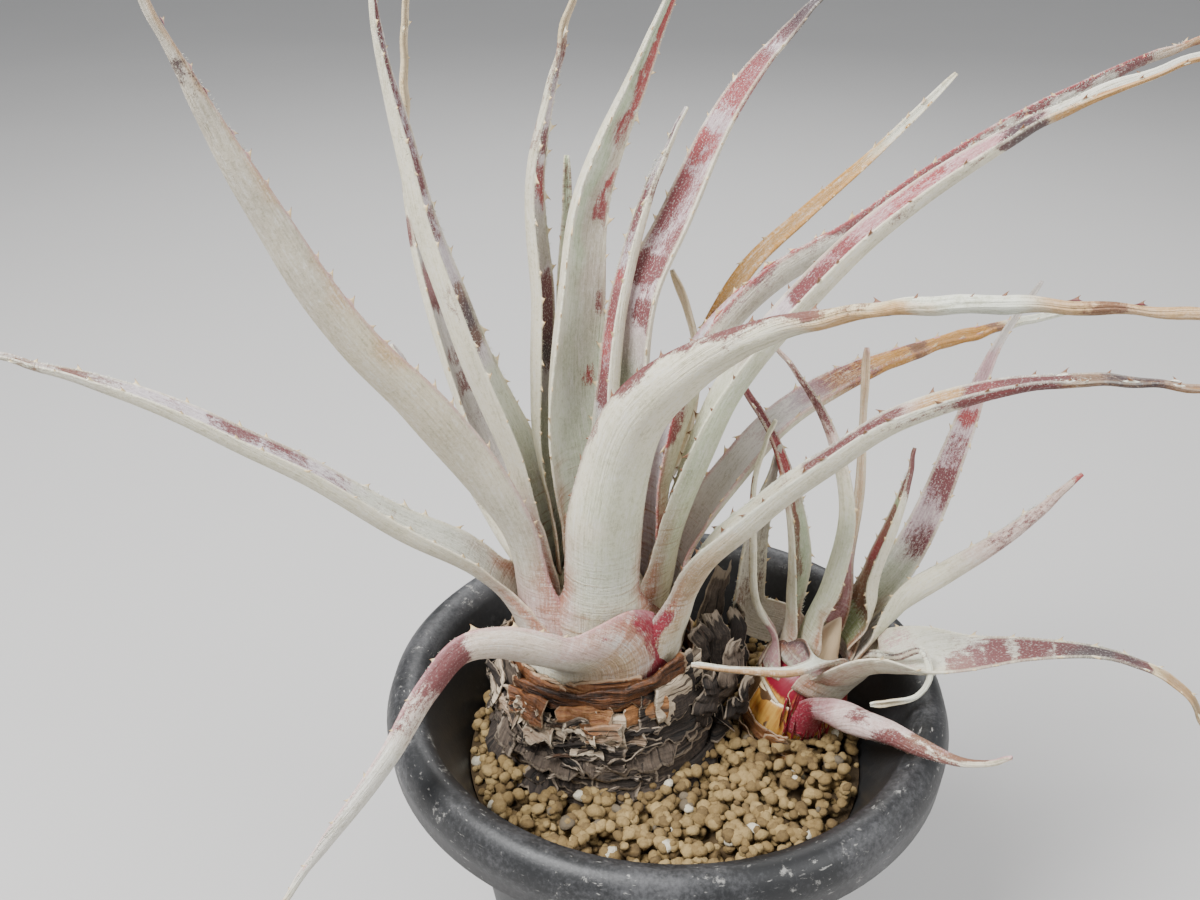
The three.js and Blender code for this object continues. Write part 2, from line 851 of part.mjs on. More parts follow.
// A closed bar through a row of four-cornered sections
function barSolid(sections) {
  const points = sections.flat();
  const triangles = [];
  const last = (sections.length - 1) * 4;
  for (let start = 0; start < last; start += 4) {
    for (let k = 0; k < 4; k++) {
      const [a, b] = [start + k, start + ((k + 1) % 4)];
      triangles.push([a, a + 4, b + 4], [a, b + 4, b]);
    }
  }
  triangles.push([0, 1, 2], [0, 2, 3], [last, last + 2, last + 1], [last, last + 3, last + 2]);
  return solidFromPoints(points, triangles);
}

// One dead leaf base: a wedge wrapped part of the way round the stem, its end lifting off
function stripSolid({ azimuth, height, radius, lift = STRIPS.lift }) {
  const { span, steps, halfHeight, innerRadius, taper, proud, slope } = STRIPS;
  const { x, y } = MAIN_STEM.foot;
  const sections = [];
  for (let i = 0; i <= steps; i++) {
    const t = i / steps;
    const angle = THREE.MathUtils.degToRad(azimuth + span * (t - 0.5));
    const outer = radius + proud + lift * t * t;
    const middle = height + slope * (t - 0.5);
    const half = halfHeight * (1 - taper * t);
    const corners = [
      [outer, middle - half],
      [outer - proud / 2, middle + half],
      [innerRadius, middle + half],
      [innerRadius, middle - half],
    ];
    const place = ([r, z]) => new THREE.Vector3(x + r * Math.cos(angle), y + r * Math.sin(angle), z);
    sections.push(corners.map(place));
  }
  return barSolid(sections);
}

// One dried scrap: a narrow bent ribbon that leans away from the stem
function scrapSolid(path) {
  const { halfWidth, halfThickness, taper } = SCRAPS;
  const points = path.map(([x, y, z]) => new THREE.Vector3(x, y, z));
  const sections = points.map((point, i) => {
    const before = points[Math.max(0, i - 1)];
    const after = points[Math.min(points.length - 1, i + 1)];
    const tangent = after.clone().sub(before).normalize();
    const side = new THREE.Vector3(0, 1, 0).addScaledVector(tangent, -tangent.y).normalize();
    const normal = new THREE.Vector3().crossVectors(side, tangent);
    const half = halfWidth * (1 - taper * i);
    return [[-1, -1], [1, -1], [1, 1], [-1, 1]].map(([a, b]) =>
      point.clone().addScaledVector(side, a * half).addScaledVector(normal, b * halfThickness),
    );
  });
  return barSolid(sections);
}

// Where the dead leaf bases of every tier lie
function stripPlaces() {
  const random = seededRandom(STRIPS.seed);
  const { spread } = STRIPS;
  return STRIPS.tiers.flatMap(({ height, radius, count }) => {
    const first = 360 * random();
    return Array.from({ length: count }, (_, i) => ({
      azimuth: first + (360 * (i + spread.turn * random())) / count,
      height: height + spread.height * (2 * random() - 1),
      radius: radius + spread.radius * (2 * random() - 1),
    }));
  });
}

// The main stem with the dead leaf bases that cling to its foot, its scraps trimmed by the cutters
function mainStemSolid(cutters) {
  const strips = [...stripPlaces(), ...SWEEPS].map((strip) => stripSolid(strip));
  const skirt = strips
    .reduce((solid, strip) => solid.add(strip))
    .trimByPlane([0, 0, 1], SOIL_CLEAR)
    .trimByPlane([0, 0, -1], -STRIPS.top);
  const scraps = SCRAPS.paths.map((path) =>
    cutters.reduce((scrap, cutter) => scrap.subtract(cutter), scrapSolid(path)),
  );
  const whole = scraps.reduce((solid, scrap) => solid.add(scrap), stemSolid(MAIN_STEM, 0).add(skirt));
  return largestBody(whole.subtract(stemSolid(PUP_STEM, GAP)).simplify(SLIVER));
}

// A closed band round a stem, leaning outwards, with a wavy torn upper edge
function bandSolid(stem, band) {
  const points = [];
  const triangles = [];
  const { bottom, top, thickness, wave, lobes, sides } = band;
  for (let i = 0; i < sides; i++) {
    const turn = i / sides;
    const angle = turn * 2 * Math.PI;
    const edge = top[1] + wave * Math.sin(lobes * angle) + wave * 0.5 * Math.cos((lobes + 4) * angle);
    [
      [bottom[0], bottom[1]],
      [bottom[0] + thickness, bottom[1]],
      [top[0] + thickness, edge],
      [top[0], edge],
    ].forEach(([r, z]) => points.push(new THREE.Vector3(r * Math.cos(angle), r * Math.sin(angle), z)));
  }
  for (let i = 0; i < sides; i++) {
    const next = (i + 1) % sides;
    for (let k = 0; k < 4; k++) {
      const [a, b] = [i * 4 + k, i * 4 + ((k + 1) % 4)];
      const [c, d] = [next * 4 + ((k + 1) % 4), next * 4 + k];
      triangles.push([a, d, c], [a, c, b]);
    }
  }
  const turn = new THREE.Quaternion().setFromUnitVectors(UP, stem.direction);
  const place = new THREE.Matrix4().makeRotationFromQuaternion(turn).setPosition(stem.foot);
  return solidFromPoints(points, triangles).transform(place.elements);
}

// A torn stub of an old leaf that stands out of the tan band
function stubSolid({ azimuth, height, width }) {
  const stub = new THREE.BoxGeometry(STUB.thickness, width, STUB.length);
  stub.rotateY(THREE.MathUtils.degToRad(STUB.lean));
  stub.translate(TAN_BAND.top[0] + TAN_BAND.thickness, 0, height);
  stub.rotateZ(THREE.MathUtils.degToRad(azimuth));
  stub.translate(MAIN_STEM.foot.x, MAIN_STEM.foot.y, 0);
  return solidFromGeometry(stub);
}

// A flap of dead leaf that leans from the offset's sheath down to the soil
function flapSolid({ azimuth, along, width, length, lean }) {
  const flap = new THREE.BoxGeometry(STUB.thickness, width, length);
  flap.rotateY(THREE.MathUtils.degToRad(-lean));
  flap.rotateZ(THREE.MathUtils.degToRad(azimuth));
  const { point } = besideStem(PUP_STEM, azimuth, along, PUP_BAND.thickness);
  flap.translate(point.x, point.y, point.z);
  return solidFromGeometry(flap);
}

// Leaves seated from the innermost out, each trimmed clear of the stem and of those inside it.
// The cutters list grows by each leaf's own outline made larger by the gap.
function seatLeaves(stem, leaves, kind, cutters) {
  return leaves.map((leaf) => {
    const whole = leafSolid(stem, leaf, kind);
    const trimmed = cutters.reduce((solid, cutter) => solid.subtract(cutter), whole);
    cutters.push(leafSolid(stem, leaf, kind, GAP));
    return meshOf(leaf.name, largestBody(trimmed.simplify(SLIVER)), leaf.finish);
  });
}

// Stems come first among the cutters, and every seated leaf is added behind them
const cutters = [stemSolid(MAIN_STEM, GAP), stemSolid(PUP_STEM, GAP)];
const stemCutters = [...cutters];
const mainLeaves = seatLeaves(MAIN_STEM, MAIN_LEAVES, MAIN_LEAF, cutters);
const pupLeaves = seatLeaves(PUP_STEM, PUP_LEAVES, PUP_LEAF, cutters);
const leafCutters = cutters.slice(stemCutters.length);
const tanBand = STUBS.reduce((solid, stub) => solid.add(stubSolid(stub)), bandSolid(MAIN_STEM, TAN_BAND));
const brownBand = bandSolid(MAIN_STEM, BROWN_BAND);
const pupFlap = flapSolid(PUP_FLAP).subtract(stemSolid(PUP_STEM, GAP)).trimByPlane([0, 0, 1], SOIL_CLEAR);
const pupBand = bandSolid(PUP_STEM, PUP_BAND).add(pupFlap).trimByPlane([0, 0, 1], SOIL_CLEAR);
const soil = stemCutters.reduce((solid, cutter) => solid.subtract(cutter), soilSolid());

const plant = new THREE.Group();
plant.add(meshOf("pot", potSolid(), "plastic"));
plant.add(meshOf("soil", soil, "soil"));
plant.add(meshOf("main_stem", mainStemSolid(leafCutters), "deadBase"));
plant.add(meshOf("torn_leaf_bases", tanBand, "tanBase"));
plant.add(meshOf("brown_sheath", brownBand, "brownSheath"));
plant.add(meshOf("pup_stem", stemSolid(PUP_STEM, 0), "bulb"));
plant.add(meshOf("pup_brown_sheath", pupBand, "brownSheath"));
plant.add(...mainLeaves, ...pupLeaves);

export default plant;
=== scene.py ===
"""Looks of a potted hechtia: a spiny rosette and its offset in clay granules in a black pot."""

import logging
import math
import random
from dataclasses import dataclass, field
from enum import Enum
from typing import Sequence

import bpy
import numpy as np
from mathutils import Matrix, Vector, noise

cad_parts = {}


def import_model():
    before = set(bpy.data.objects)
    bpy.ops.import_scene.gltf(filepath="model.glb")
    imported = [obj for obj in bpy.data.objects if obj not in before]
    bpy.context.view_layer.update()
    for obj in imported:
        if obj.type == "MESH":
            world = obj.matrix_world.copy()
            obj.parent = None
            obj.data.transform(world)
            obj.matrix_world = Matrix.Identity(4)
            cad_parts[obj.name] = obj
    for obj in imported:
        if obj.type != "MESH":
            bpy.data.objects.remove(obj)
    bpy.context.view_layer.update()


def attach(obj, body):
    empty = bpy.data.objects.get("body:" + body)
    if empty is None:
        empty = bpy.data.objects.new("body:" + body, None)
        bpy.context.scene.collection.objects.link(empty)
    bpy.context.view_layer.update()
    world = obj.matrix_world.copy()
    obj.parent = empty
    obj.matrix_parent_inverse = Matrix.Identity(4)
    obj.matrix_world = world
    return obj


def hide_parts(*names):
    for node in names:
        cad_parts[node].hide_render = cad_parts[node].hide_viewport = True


Array = np.ndarray
Color = tuple[float, float, float]
Point = tuple[float, float, float]

MM = 0.001
LOG = logging.getLogger("hechtia")


def smooth(low: float, high: float, value: Array | float) -> Array | float:
    """A smooth step of a value from 0 at low to 1 at high, which may lie below low."""
    t = np.clip((np.asarray(value, float) - low) / (high - low), 0, 1)
    return t * t * (3 - 2 * t)


def mix(a: Array | float, b: Array | float, t: Array | float) -> Array | float:
    """The value a share t of the way from a to b."""
    return a + (b - a) * t


def unit(vectors: Array) -> Array:
    """Vectors scaled to length 1 along their last axis."""
    return vectors / np.maximum(np.linalg.norm(vectors, axis=-1, keepdims=True), 1e-12)


def triple(first: Array | float, second: Array | float, third: Array | float) -> Array:
    """Three values, one or more of them arrays, joined along a new last axis."""
    return np.stack(np.broadcast_arrays(first, second, third), axis=-1).astype(float)


def bell(value: Array, middle: float, width: float) -> Array:
    """A smooth hump of height 1 round a middle."""
    return np.exp(-(((value - middle) / width) ** 2))


def wobble(x: Array, seed: float, octaves: int = 3) -> Array:
    """Smooth noise between about -1 and 1 along a line.

    Args:
        x: Places along the line.
        seed: Picks the line through the noise.
        octaves: How many finer layers are added.

    Returns:
        One value for each place.
    """
    flat = [noise.fractal(Vector((float(v), seed, 0.37 * seed)), 1.0, 2.0, octaves) for v in np.ravel(x)]
    return np.array(flat).reshape(np.shape(x))


class Signal:
    """A shader socket that takes part in plain arithmetic."""

    def __init__(self, paint: "Paint", socket: bpy.types.NodeSocket) -> None:
        """Keeps the socket and the tree it belongs to."""
        self.paint = paint
        self.socket = socket

    def _join(self, operation: str, first: object, second: object) -> "Signal":
        """One Math node on two values."""
        made = self.paint.node("ShaderNodeMath", {"operation": operation}, {0: first, 1: second})
        return Signal(self.paint, made.outputs[0])

    def __add__(self, other: object) -> "Signal":
        """Sum."""
        return self._join("ADD", self, other)

    __radd__ = __add__

    def __mul__(self, other: object) -> "Signal":
        """Product."""
        return self._join("MULTIPLY", self, other)

    __rmul__ = __mul__

    def __sub__(self, other: object) -> "Signal":
        """Difference."""
        return self._join("SUBTRACT", self, other)

    def __rsub__(self, other: object) -> "Signal":
        """Difference with this signal taken away."""
        return self._join("SUBTRACT", other, self)

    def step(self, low: float, high: float) -> "Signal":
        """A smooth step of this signal from 0 at low to 1 at high.

        Args:
            low: Where it is 0.
            high: Where it is 1.

        Returns:
            The step.
        """
        settings = {"interpolation_type": "SMOOTHSTEP"}
        made = self.paint.node("ShaderNodeMapRange", settings, {0: self, 1: low, 2: high})
        return Signal(self.paint, made.outputs[0])

    def clamp(self) -> "Signal":
        """This signal held between 0 and 1."""
        made = self.paint.node("ShaderNodeClamp", {}, {0: self})
        return Signal(self.paint, made.outputs[0])


class Paint:
    """Builds the node tree of one material."""

    COLOR_SOCKETS = (6, 7)
    MIXED_COLOR = 2

    def __init__(self, name: str) -> None:
        """Starts a material with its shader.

        Args:
            name: The material's name.
        """
        self.material = bpy.data.materials.new(name)
        self.material.use_nodes = True
        self.tree = self.material.node_tree
        self.shader = self.tree.nodes["Principled BSDF"]

    def node(self, kind: str, settings: dict, inputs: dict) -> bpy.types.Node:
        """Adds a node.

        Args:
            kind: The node's type.
            settings: Its own settings; "stops" lists a ramp's (place, colour) pairs.
            inputs: Values, signals or sockets for its inputs, by name or number.

        Returns:
            The node.
        """
        made = self.tree.nodes.new(kind)
        for key, value in settings.items():
            if key == "stops":
                self._fill_ramp(made.color_ramp, value)
            else:
                setattr(made, key, value)
        for key, value in inputs.items():
            self._feed(made.inputs[key], value)
        return made

    def _feed(self, socket: bpy.types.NodeSocket, value: object) -> None:
        """Links or sets one input.

        Args:
            socket: The input.
            value: A link's source, a colour or a number.
        """
        if isinstance(value, Signal):
            self.tree.links.new(value.socket, socket)
        elif isinstance(value, bpy.types.NodeSocket):
            self.tree.links.new(value, socket)
        elif socket.type == "RGBA":
            socket.default_value = (*value, 1.0)
        else:
            socket.default_value = value

    @staticmethod
    def _fill_ramp(ramp: bpy.types.ColorRamp, stops: Sequence[tuple[float, Color]]) -> None:
        """Sets a ramp's stops.

        Args:
            ramp: The ramp.
            stops: Each stop's place and colour.
        """
        while len(ramp.elements) < len(stops):
            ramp.elements.new(0.5)
        for element, (place, color) in zip(ramp.elements, stops):
            element.position = place
            element.color = (*color, 1.0)

    def part(self, name: str) -> bpy.types.NodeSocket:
        """A stored attribute of the mesh as a vector."""
        return self.node("ShaderNodeAttribute", {"attribute_name": name}, {}).outputs["Vector"]

    def split(self, name: str) -> tuple[Signal, Signal, Signal]:
        """The three numbers of a stored attribute."""
        made = self.node("ShaderNodeSeparateXYZ", {}, {0: self.part(name)})
        return tuple(Signal(self, output) for output in made.outputs)

    def place(self) -> bpy.types.NodeSocket:
        """The point on the object that is shaded."""
        return self.node("ShaderNodeTexCoord", {}, {}).outputs["Object"]

    def stretch(self, vector: object, factors: Point) -> bpy.types.NodeSocket:
        """A vector multiplied by fixed factors."""
        made = self.node("ShaderNodeVectorMath", {"operation": "MULTIPLY"}, {0: vector, 1: factors})
        return made.outputs[0]

    def noise(self, vector: object, scale: float, detail: float = 3.0, rough: float = 0.55) -> Signal:
        """Noise between 0 and 1.

        Args:
            vector: Where it is read.
            scale: Its features per unit of the vector.
            detail: How many finer layers it has.
            rough: How strong the finer layers are.

        Returns:
            The noise.
        """
        inputs = {"Vector": vector, "Scale": scale, "Detail": detail, "Roughness": rough}
        return Signal(self, self.node("ShaderNodeTexNoise", {}, inputs).outputs[0])

    def weave(self, flow: object, factors: Point, detail: float = 3.0, rough: float = 0.55) -> Signal:
        """Noise on a stretched vector: factors give its features per unit along each axis."""
        return self.noise(self.stretch(flow, factors), 1.0, detail, rough)

    def blend(self, factor: object, first: object, second: object) -> bpy.types.NodeSocket:
        """Two colours mixed by a factor."""
        inputs = {0: factor, **dict(zip(self.COLOR_SOCKETS, (first, second)))}
        return self.node("ShaderNodeMix", {"data_type": "RGBA"}, inputs).outputs[self.MIXED_COLOR]

    def ramp(self, factor: object, stops: Sequence[tuple[float, Color]]) -> bpy.types.NodeSocket:
        """A colour looked up along a ramp."""
        return self.node("ShaderNodeValToRGB", {"stops": stops}, {0: factor}).outputs[0]

    def bump(self, height: object, distance: float, strength: float = 1.0) -> None:
        """Feeds the shader's normal from a height in scene units."""
        inputs = {"Height": height, "Distance": distance, "Strength": strength}
        self._feed(self.shader.inputs["Normal"], self.node("ShaderNodeBump", {}, inputs).outputs[0])

    def finish(self, **inputs: object) -> bpy.types.Material:
        """Sets the shader's inputs, with spaces written as underscores, and gives the material.

        Args:
            inputs: What each input gets.

        Returns:
            The finished material.
        """
        for key, value in inputs.items():
            self._feed(self.shader.inputs[key.replace("_", " ")], value)
        return self.material


@dataclass
class Body:
    """Vertices, faces and stored attributes of a piece, all in millimetres."""

    points: list[Array] = field(default_factory=list)
    faces: list[Array] = field(default_factory=list)
    stored: dict[str, list[Array]] = field(default_factory=dict)
    count: int = 0

    def add(self, points: Array, faces: Sequence[Sequence[int]], **stored: Array) -> None:
        """Adds a part with the same attributes as the parts before it.

        Args:
            points: Its points, in a row or a grid.
            faces: Its faces, numbered from its own first point.
            stored: Attributes by name, each with three numbers for every point or for all.
        """
        points = np.asarray(points, float).reshape(-1, 3)
        self.faces.extend([[index + self.count for index in face] for face in faces])
        self.points.append(points)
        for key, values in stored.items():
            spread = np.broadcast_to(np.asarray(values, float).reshape(-1, 3), (len(points), 3))
            self.stored.setdefault(key, []).append(spread)
        self.count += len(points)

    def build(self, name: str, material: bpy.types.Material, slot: str, *nodes: str) -> bpy.types.Object:
        """Makes the piece and lets it stand for its solids.

        Args:
            name: The piece's name.
            material: Its finish.
            slot: The record's material slot; not used.
            nodes: The solids that it replaces.

        Returns:
            The new object, riding on the root body.
        """
        mesh = bpy.data.meshes.new(name)
        points = np.concatenate(self.points) * MM
        mesh.from_pydata(points.tolist(), [], self.faces)
        for key, values in self.stored.items():
            layer = mesh.attributes.new(key, "FLOAT_VECTOR", "POINT")
            layer.data.foreach_set("vector", np.concatenate(values).astype(np.float32).ravel())
        mesh.polygons.foreach_set("use_smooth", [True] * len(mesh.polygons))
        mesh.materials.append(material)
        mesh.validate()
        piece = bpy.data.objects.new(name, mesh)
        bpy.context.scene.collection.objects.link(piece)
        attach(piece, "root")
        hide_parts(*nodes)
        LOG.info("%s: %d faces", name, len(mesh.polygons))
        return piece


def loft_faces(rings: int, around: int, first: bool = False, last: bool = False) -> list[list[int]]:
    """The faces of a tube.

    Args:
        rings: How many rings it has, numbered ring by ring.
        around: Points in each ring.
        first: Whether the first ring is closed by a face.
        last: Whether the last ring is closed by a face.

    Returns:
        The faces.
    """
    faces = []
    for i in range(rings - 1):
        for j in range(around):
            a, b = i * around + j, i * around + (j + 1) % around
            faces.append([a, b, b + around, a + around])
    if first:
        faces.append(list(range(around))[::-1])
    if last:
        faces.append(list(range((rings - 1) * around, rings * around)))
    return faces


@dataclass(frozen=True)
class Stem:
    """A tapered stem: a foot, a direction and a radius at each distance along it."""

    foot: Point
    direction: Point
    profile: tuple[tuple[float, float], ...]

    def axis(self) -> Array:
        """The unit direction."""
        return unit(np.array(self.direction))

    def radius(self, along: Array | float) -> Array | float:
        """The radius at distances along the stem."""
        distances, radii = zip(*self.profile)
        return np.interp(along, distances, radii)

    def wrap(self, azimuth: Array, along: Array, radius: Array) -> tuple[Array, Array]:
        """Points round the stem.

        Args:
            azimuth: Their directions in degrees.
            along: Their distances along the stem.
            radius: Their distances from its axis.

        Returns:
            The points and the outward directions at them.
        """
        angle, axis = np.radians(azimuth), self.axis()
        outward = np.stack([np.cos(angle), np.sin(angle), np.zeros_like(angle)], axis=-1)
        outward = unit(outward - axis * (outward @ axis)[..., None])
        height = np.broadcast_to(along, angle.shape)[..., None]
        reach = np.broadcast_to(radius, angle.shape)[..., None]
        return np.array(self.foot) + axis * height + outward * reach, outward

    def beside(self, azimuth: float, along: float, clearance: float) -> tuple[Array, Array]:
        """A point beside the stem.

        Args:
            azimuth: Its direction in degrees.
            along: Its distance along the stem.
            clearance: Its distance from the stem's skin.

        Returns:
            The point and the outward direction at it.
        """
        angle = math.radians(azimuth)
        axis = self.axis()
        outward = np.array([math.cos(angle), math.sin(angle), 0.0])
        outward = unit(outward - axis * outward.dot(axis))
        point = np.array(self.foot) + axis * along + outward * (self.radius(along) + clearance)
        return point, outward


MAIN_STEM = Stem(
    foot=(-18, 8, 0),
    direction=(0, 0, 1),
    profile=(
        (64, 9), (78, 15), (88, 20), (93, 24.6), (100, 25.4), (110, 24.8), (114, 23), (122, 22.6),
        (126, 21.8), (132, 18.6), (140, 13.2), (148, 8.6), (155, 5), (160, 1.6),
    ),
)
PUP_STEM = Stem(
    foot=(29.5, 9.5, 84),
    direction=(0.36, -0.03, 0.93),
    profile=((0, 5), (6, 9), (10, 11.6), (18, 12.8), (26, 12.2), (33, 9.4), (40, 6), (46, 3), (49, 1)),
)


class Curve:
    """A centripetal curve through points, read by its share of the length."""

    TANGENT_STEP = 0.004

    def __init__(self, points: Sequence[Array], dense: int = 40) -> None:
        """Samples the curve, with dense steps from point to point, and measures it.

        Args:
            points: Points on it.
            dense: Steps between two of them.
        """
        p = np.array(points, float)
        p = np.vstack([2 * p[0] - p[1], p, 2 * p[-1] - p[-2]])
        samples = []
        for i in range(1, len(p) - 2):
            samples.append(self._segment(p[i - 1 : i + 3], np.linspace(0, 1, dense, endpoint=False)))
        samples.append(p[-2:-1])
        self.samples = np.concatenate(samples)
        steps = np.linalg.norm(np.diff(self.samples, axis=0), axis=1)
        self.reach = np.concatenate([[0], np.cumsum(steps)])
        self.length = float(self.reach[-1])

    @staticmethod
    def _segment(p: Array, t: Array) -> Array:
        """One stretch of the curve.

        Args:
            p: Four points, of which the stretch joins the middle two.
            t: Places on the stretch, from 0 to 1.

        Returns:
            A point for each place.
        """
        gaps = np.maximum(np.linalg.norm(np.diff(p, axis=0), axis=1) ** 0.5, 1e-6)
        knots = np.concatenate([[0], np.cumsum(gaps)])
        at = (knots[1] + (knots[2] - knots[1]) * t)[:, None]

        def lean(a: Array, b: Array, low: float, high: float) -> Array:
            """The point between two points where the parameter is at."""
            return ((high - at) * a + (at - low) * b) / (high - low)

        first = [lean(p[k], p[k + 1], knots[k], knots[k + 1]) for k in range(3)]
        second = [lean(first[k], first[k + 1], knots[k], knots[k + 2]) for k in range(2)]
        return lean(second[0], second[1], knots[1], knots[2])

    def at(self, share: Array) -> Array:
        """Points at shares of the length."""
        target = np.asarray(share) * self.length
        return np.stack([np.interp(target, self.reach, self.samples[:, k]) for k in range(3)], axis=-1)

    def tangents(self, share: Array) -> Array:
        """Unit tangents at shares of the length."""
        before = self.at(np.clip(np.asarray(share) - self.TANGENT_STEP, 0, 1))
        return unit(self.at(np.clip(np.asarray(share) + self.TANGENT_STEP, 0, 1)) - before)


@dataclass(frozen=True)
class LeafKind:
    """The section and tooth sizes that the leaves of one plant share.

    wrap and channel are half the arc of the section in radians, at the base and in the blade.
    """

    wrap: float
    channel: float
    blade_half: float
    tooth: float
    clearance: float = 0.65


MAIN_LEAF = LeafKind(wrap=1.15, channel=1.2, blade_half=1.4, tooth=2.2)
PUP_LEAF = LeafKind(wrap=1.0, channel=1.1, blade_half=1.0, tooth=1.8)


class Tint(Enum):
    """Colours that a leaf's skin takes."""

    CREAM = (0.75, 0.7, 0.53)
    WHITE = (0.81, 0.83, 0.7)
    LILAC = (0.60, 0.53, 0.57)
    GREY = (0.56, 0.52, 0.44)
    SAGE = (0.55, 0.63, 0.43)
    GREEN = (0.34, 0.42, 0.22)
    PINK = (0.58, 0.30, 0.32)
    RED = (0.36, 0.045, 0.048)
    CRIMSON = (0.33, 0.012, 0.04)
    MAROON = (0.145, 0.026, 0.03)
    DARK = (0.05, 0.03, 0.035)
    BROWN = (0.21, 0.10, 0.05)
    ORANGE = (0.53, 0.24, 0.032)
    STRAW = (0.70, 0.54, 0.30)


class Face(Enum):
    """Which face of a leaf is meant."""

    BOTH = 0
    INNER = 1
    OUTER = -1


CREAM, WHITE, LILAC, GREY, SAGE, GREEN, PINK, RED, CRIMSON, MAROON, DARK, BROWN, ORANGE, STRAW = Tint
BOTH, INNER, OUTER = Face


@dataclass(frozen=True)
class Patch:
    """A coloured area of a leaf, from one share of its length to another.

    low and high bound it across the leaf, from -1 to 1, and soft is how gently its ends fade.
    """

    start: float
    end: float
    tint: Tint
    strength: float = 1.0
    face: Face = BOTH
    low: float = -2.0
    high: float = 2.0
    soft: float = 0.012


class Wash(Patch):
    """A patch that colours the skin itself, softly, where a plain patch is a mottled stain."""


@dataclass(frozen=True)
class Leaf:
    """One leaf: where it sits, the line it follows and how it is coloured.

    seat is its azimuth in degrees and its distance along the stem. base and blade are half widths
    round the section, twist turns the blade about its line, and dry is where the dry end starts and
    its half width. spacing is the usual gap between teeth, none where it is 0, and teeth the share of
    the length that has them. crease is a fold's place across the leaf and its depth.
    """

    name: str
    slot: str
    seat: tuple[float, float]
    path: tuple[Point, ...]
    base: float
    blade: float
    taper: float = 0.6
    twist: float = 0.0
    dry: tuple[float, float] = (0.86, 1.5)
    wrap: float | None = None
    channel: float | None = None
    neck: float = 0.13
    spacing: float = 9.0
    teeth: tuple[float, float] = (0.17, 0.94)
    tooth: Tint = STRAW
    inner: Tint = LILAC
    outer: Tint = CREAM
    rim: Tint = CREAM
    patches: tuple[Patch, ...] = ()
    speck: float = 0.4
    wave: float = 0.4
    crumple: float = 0.6
    crease: tuple[float, float] = (0.0, 0.0)


class LeafShape:
    """The swept form of a leaf, the same as its solid but finer.

    The shares are of the leaf's length: where the blade comes free of its sheath, where its channel
    is fully formed and how far its drying spreads. The halves are half thicknesses and widths in mm.
    """

    FREE_SHARE = 0.2
    CHANNEL_SHARE = 0.28
    DRYING_SHARE = 0.12
    SHEATH_HALF = 0.42
    TIP_HALF = 0.4
    LEAST_HALF_WIDTH = 0.4
    RISE = 9
    LEAN = 1.2

    def __init__(self, leaf: Leaf, stem: Stem, kind: LeafKind, stations: int) -> None:
        """Works out the leaf's frames and sizes at its stations.

        Args:
            leaf: The leaf.
            stem: Its stem.
            kind: Its rosette's sizes.
            stations: How many there are.
        """
        self.leaf = leaf
        self.kind = kind
        seat, outward = stem.beside(leaf.seat[0], leaf.seat[1], kind.clearance)
        rise = seat + stem.axis() * self.RISE + outward * self.LEAN
        self.curve = Curve([seat, rise, *[np.array(p, float) for p in leaf.path]])
        self.share = np.linspace(0, 1, stations)
        self.center = self.curve.at(self.share)
        self.tangent = self.curve.tangents(self.share)
        self.upward = self._carry(-outward)
        self.side = np.cross(self.tangent, self.upward)
        self._sizes()

    def _carry(self, start: Array) -> Array:
        """The inward normals along the line, carried from the first one and twisted.

        Args:
            start: The first normal.

        Returns:
            One unit normal for each station.
        """
        current = start
        carried = []
        for tangent in self.tangent:
            current = unit(current - tangent * current.dot(tangent))
            carried.append(current)
        upward = np.array(carried)
        angle = np.radians(self.leaf.twist) * smooth(0.1, 0.4, self.share)[:, None]
        return upward * np.cos(angle) + np.cross(self.tangent, upward) * np.sin(angle)

    def _sizes(self) -> None:
        """Half width, bend and half thickness at each station."""
        leaf, kind, at = self.leaf, self.kind, self.share
        dry_from, dry_width = leaf.dry
        free = np.maximum(0, (at - self.FREE_SHARE) / (1 - self.FREE_SHARE))
        green = leaf.blade * (1 - free) ** leaf.taper
        thread = dry_width * (np.maximum(1 - at, 0.004) / (1 - dry_from)) ** 0.3
        self.dried = smooth(dry_from - self.DRYING_SHARE, dry_from + self.DRYING_SHARE, at)
        blade = mix(green, np.minimum(thread, green + dry_width), self.dried)
        wide = mix(leaf.base, blade, smooth(0, leaf.neck, at))
        self.half_width = np.maximum(wide, self.LEAST_HALF_WIDTH)
        opened = smooth(0, self.CHANNEL_SHARE, at)
        self.curl = mix(leaf.wrap or kind.wrap, leaf.channel or kind.channel, opened)
        middle = mix(self.SHEATH_HALF, kind.blade_half, smooth(0.1, self.CHANNEL_SHARE, at))
        self.middle = mix(middle, self.TIP_HALF, smooth(0.5, 1, at))
        self.radius = self.half_width / self.curl
        depth = self.radius * (1 - np.cos(self.curl))
        self.center = self.center - self.upward * (depth / 2 * opened)[:, None]

    def point(self, station: Array, column: Array, offset: Array) -> Array:
        """Points of the leaf.

        Args:
            station: Station numbers, fractions allowed.
            column: Places across, from -1 to 1.
            offset: Distance from the middle sheet towards the inside.

        Returns:
            The points in millimetres.
        """
        index = np.arange(len(self.share))

        def read(values: Array) -> Array:
            """The station values at the stations asked for.

            Args:
                values: One row for each station.

            Returns:
                One row for each point.
            """
            if values.ndim == 1:
                return np.interp(station, index, values)
            return np.stack([np.interp(station, index, values[:, k]) for k in range(3)], axis=-1)

        radius, angle = read(self.radius), column * read(self.curl)
        across = (radius - offset) * np.sin(angle)
        lift = radius - (radius - offset) * np.cos(angle)
        return read(self.center) + read(self.side) * across[..., None] + read(self.upward) * lift[..., None]


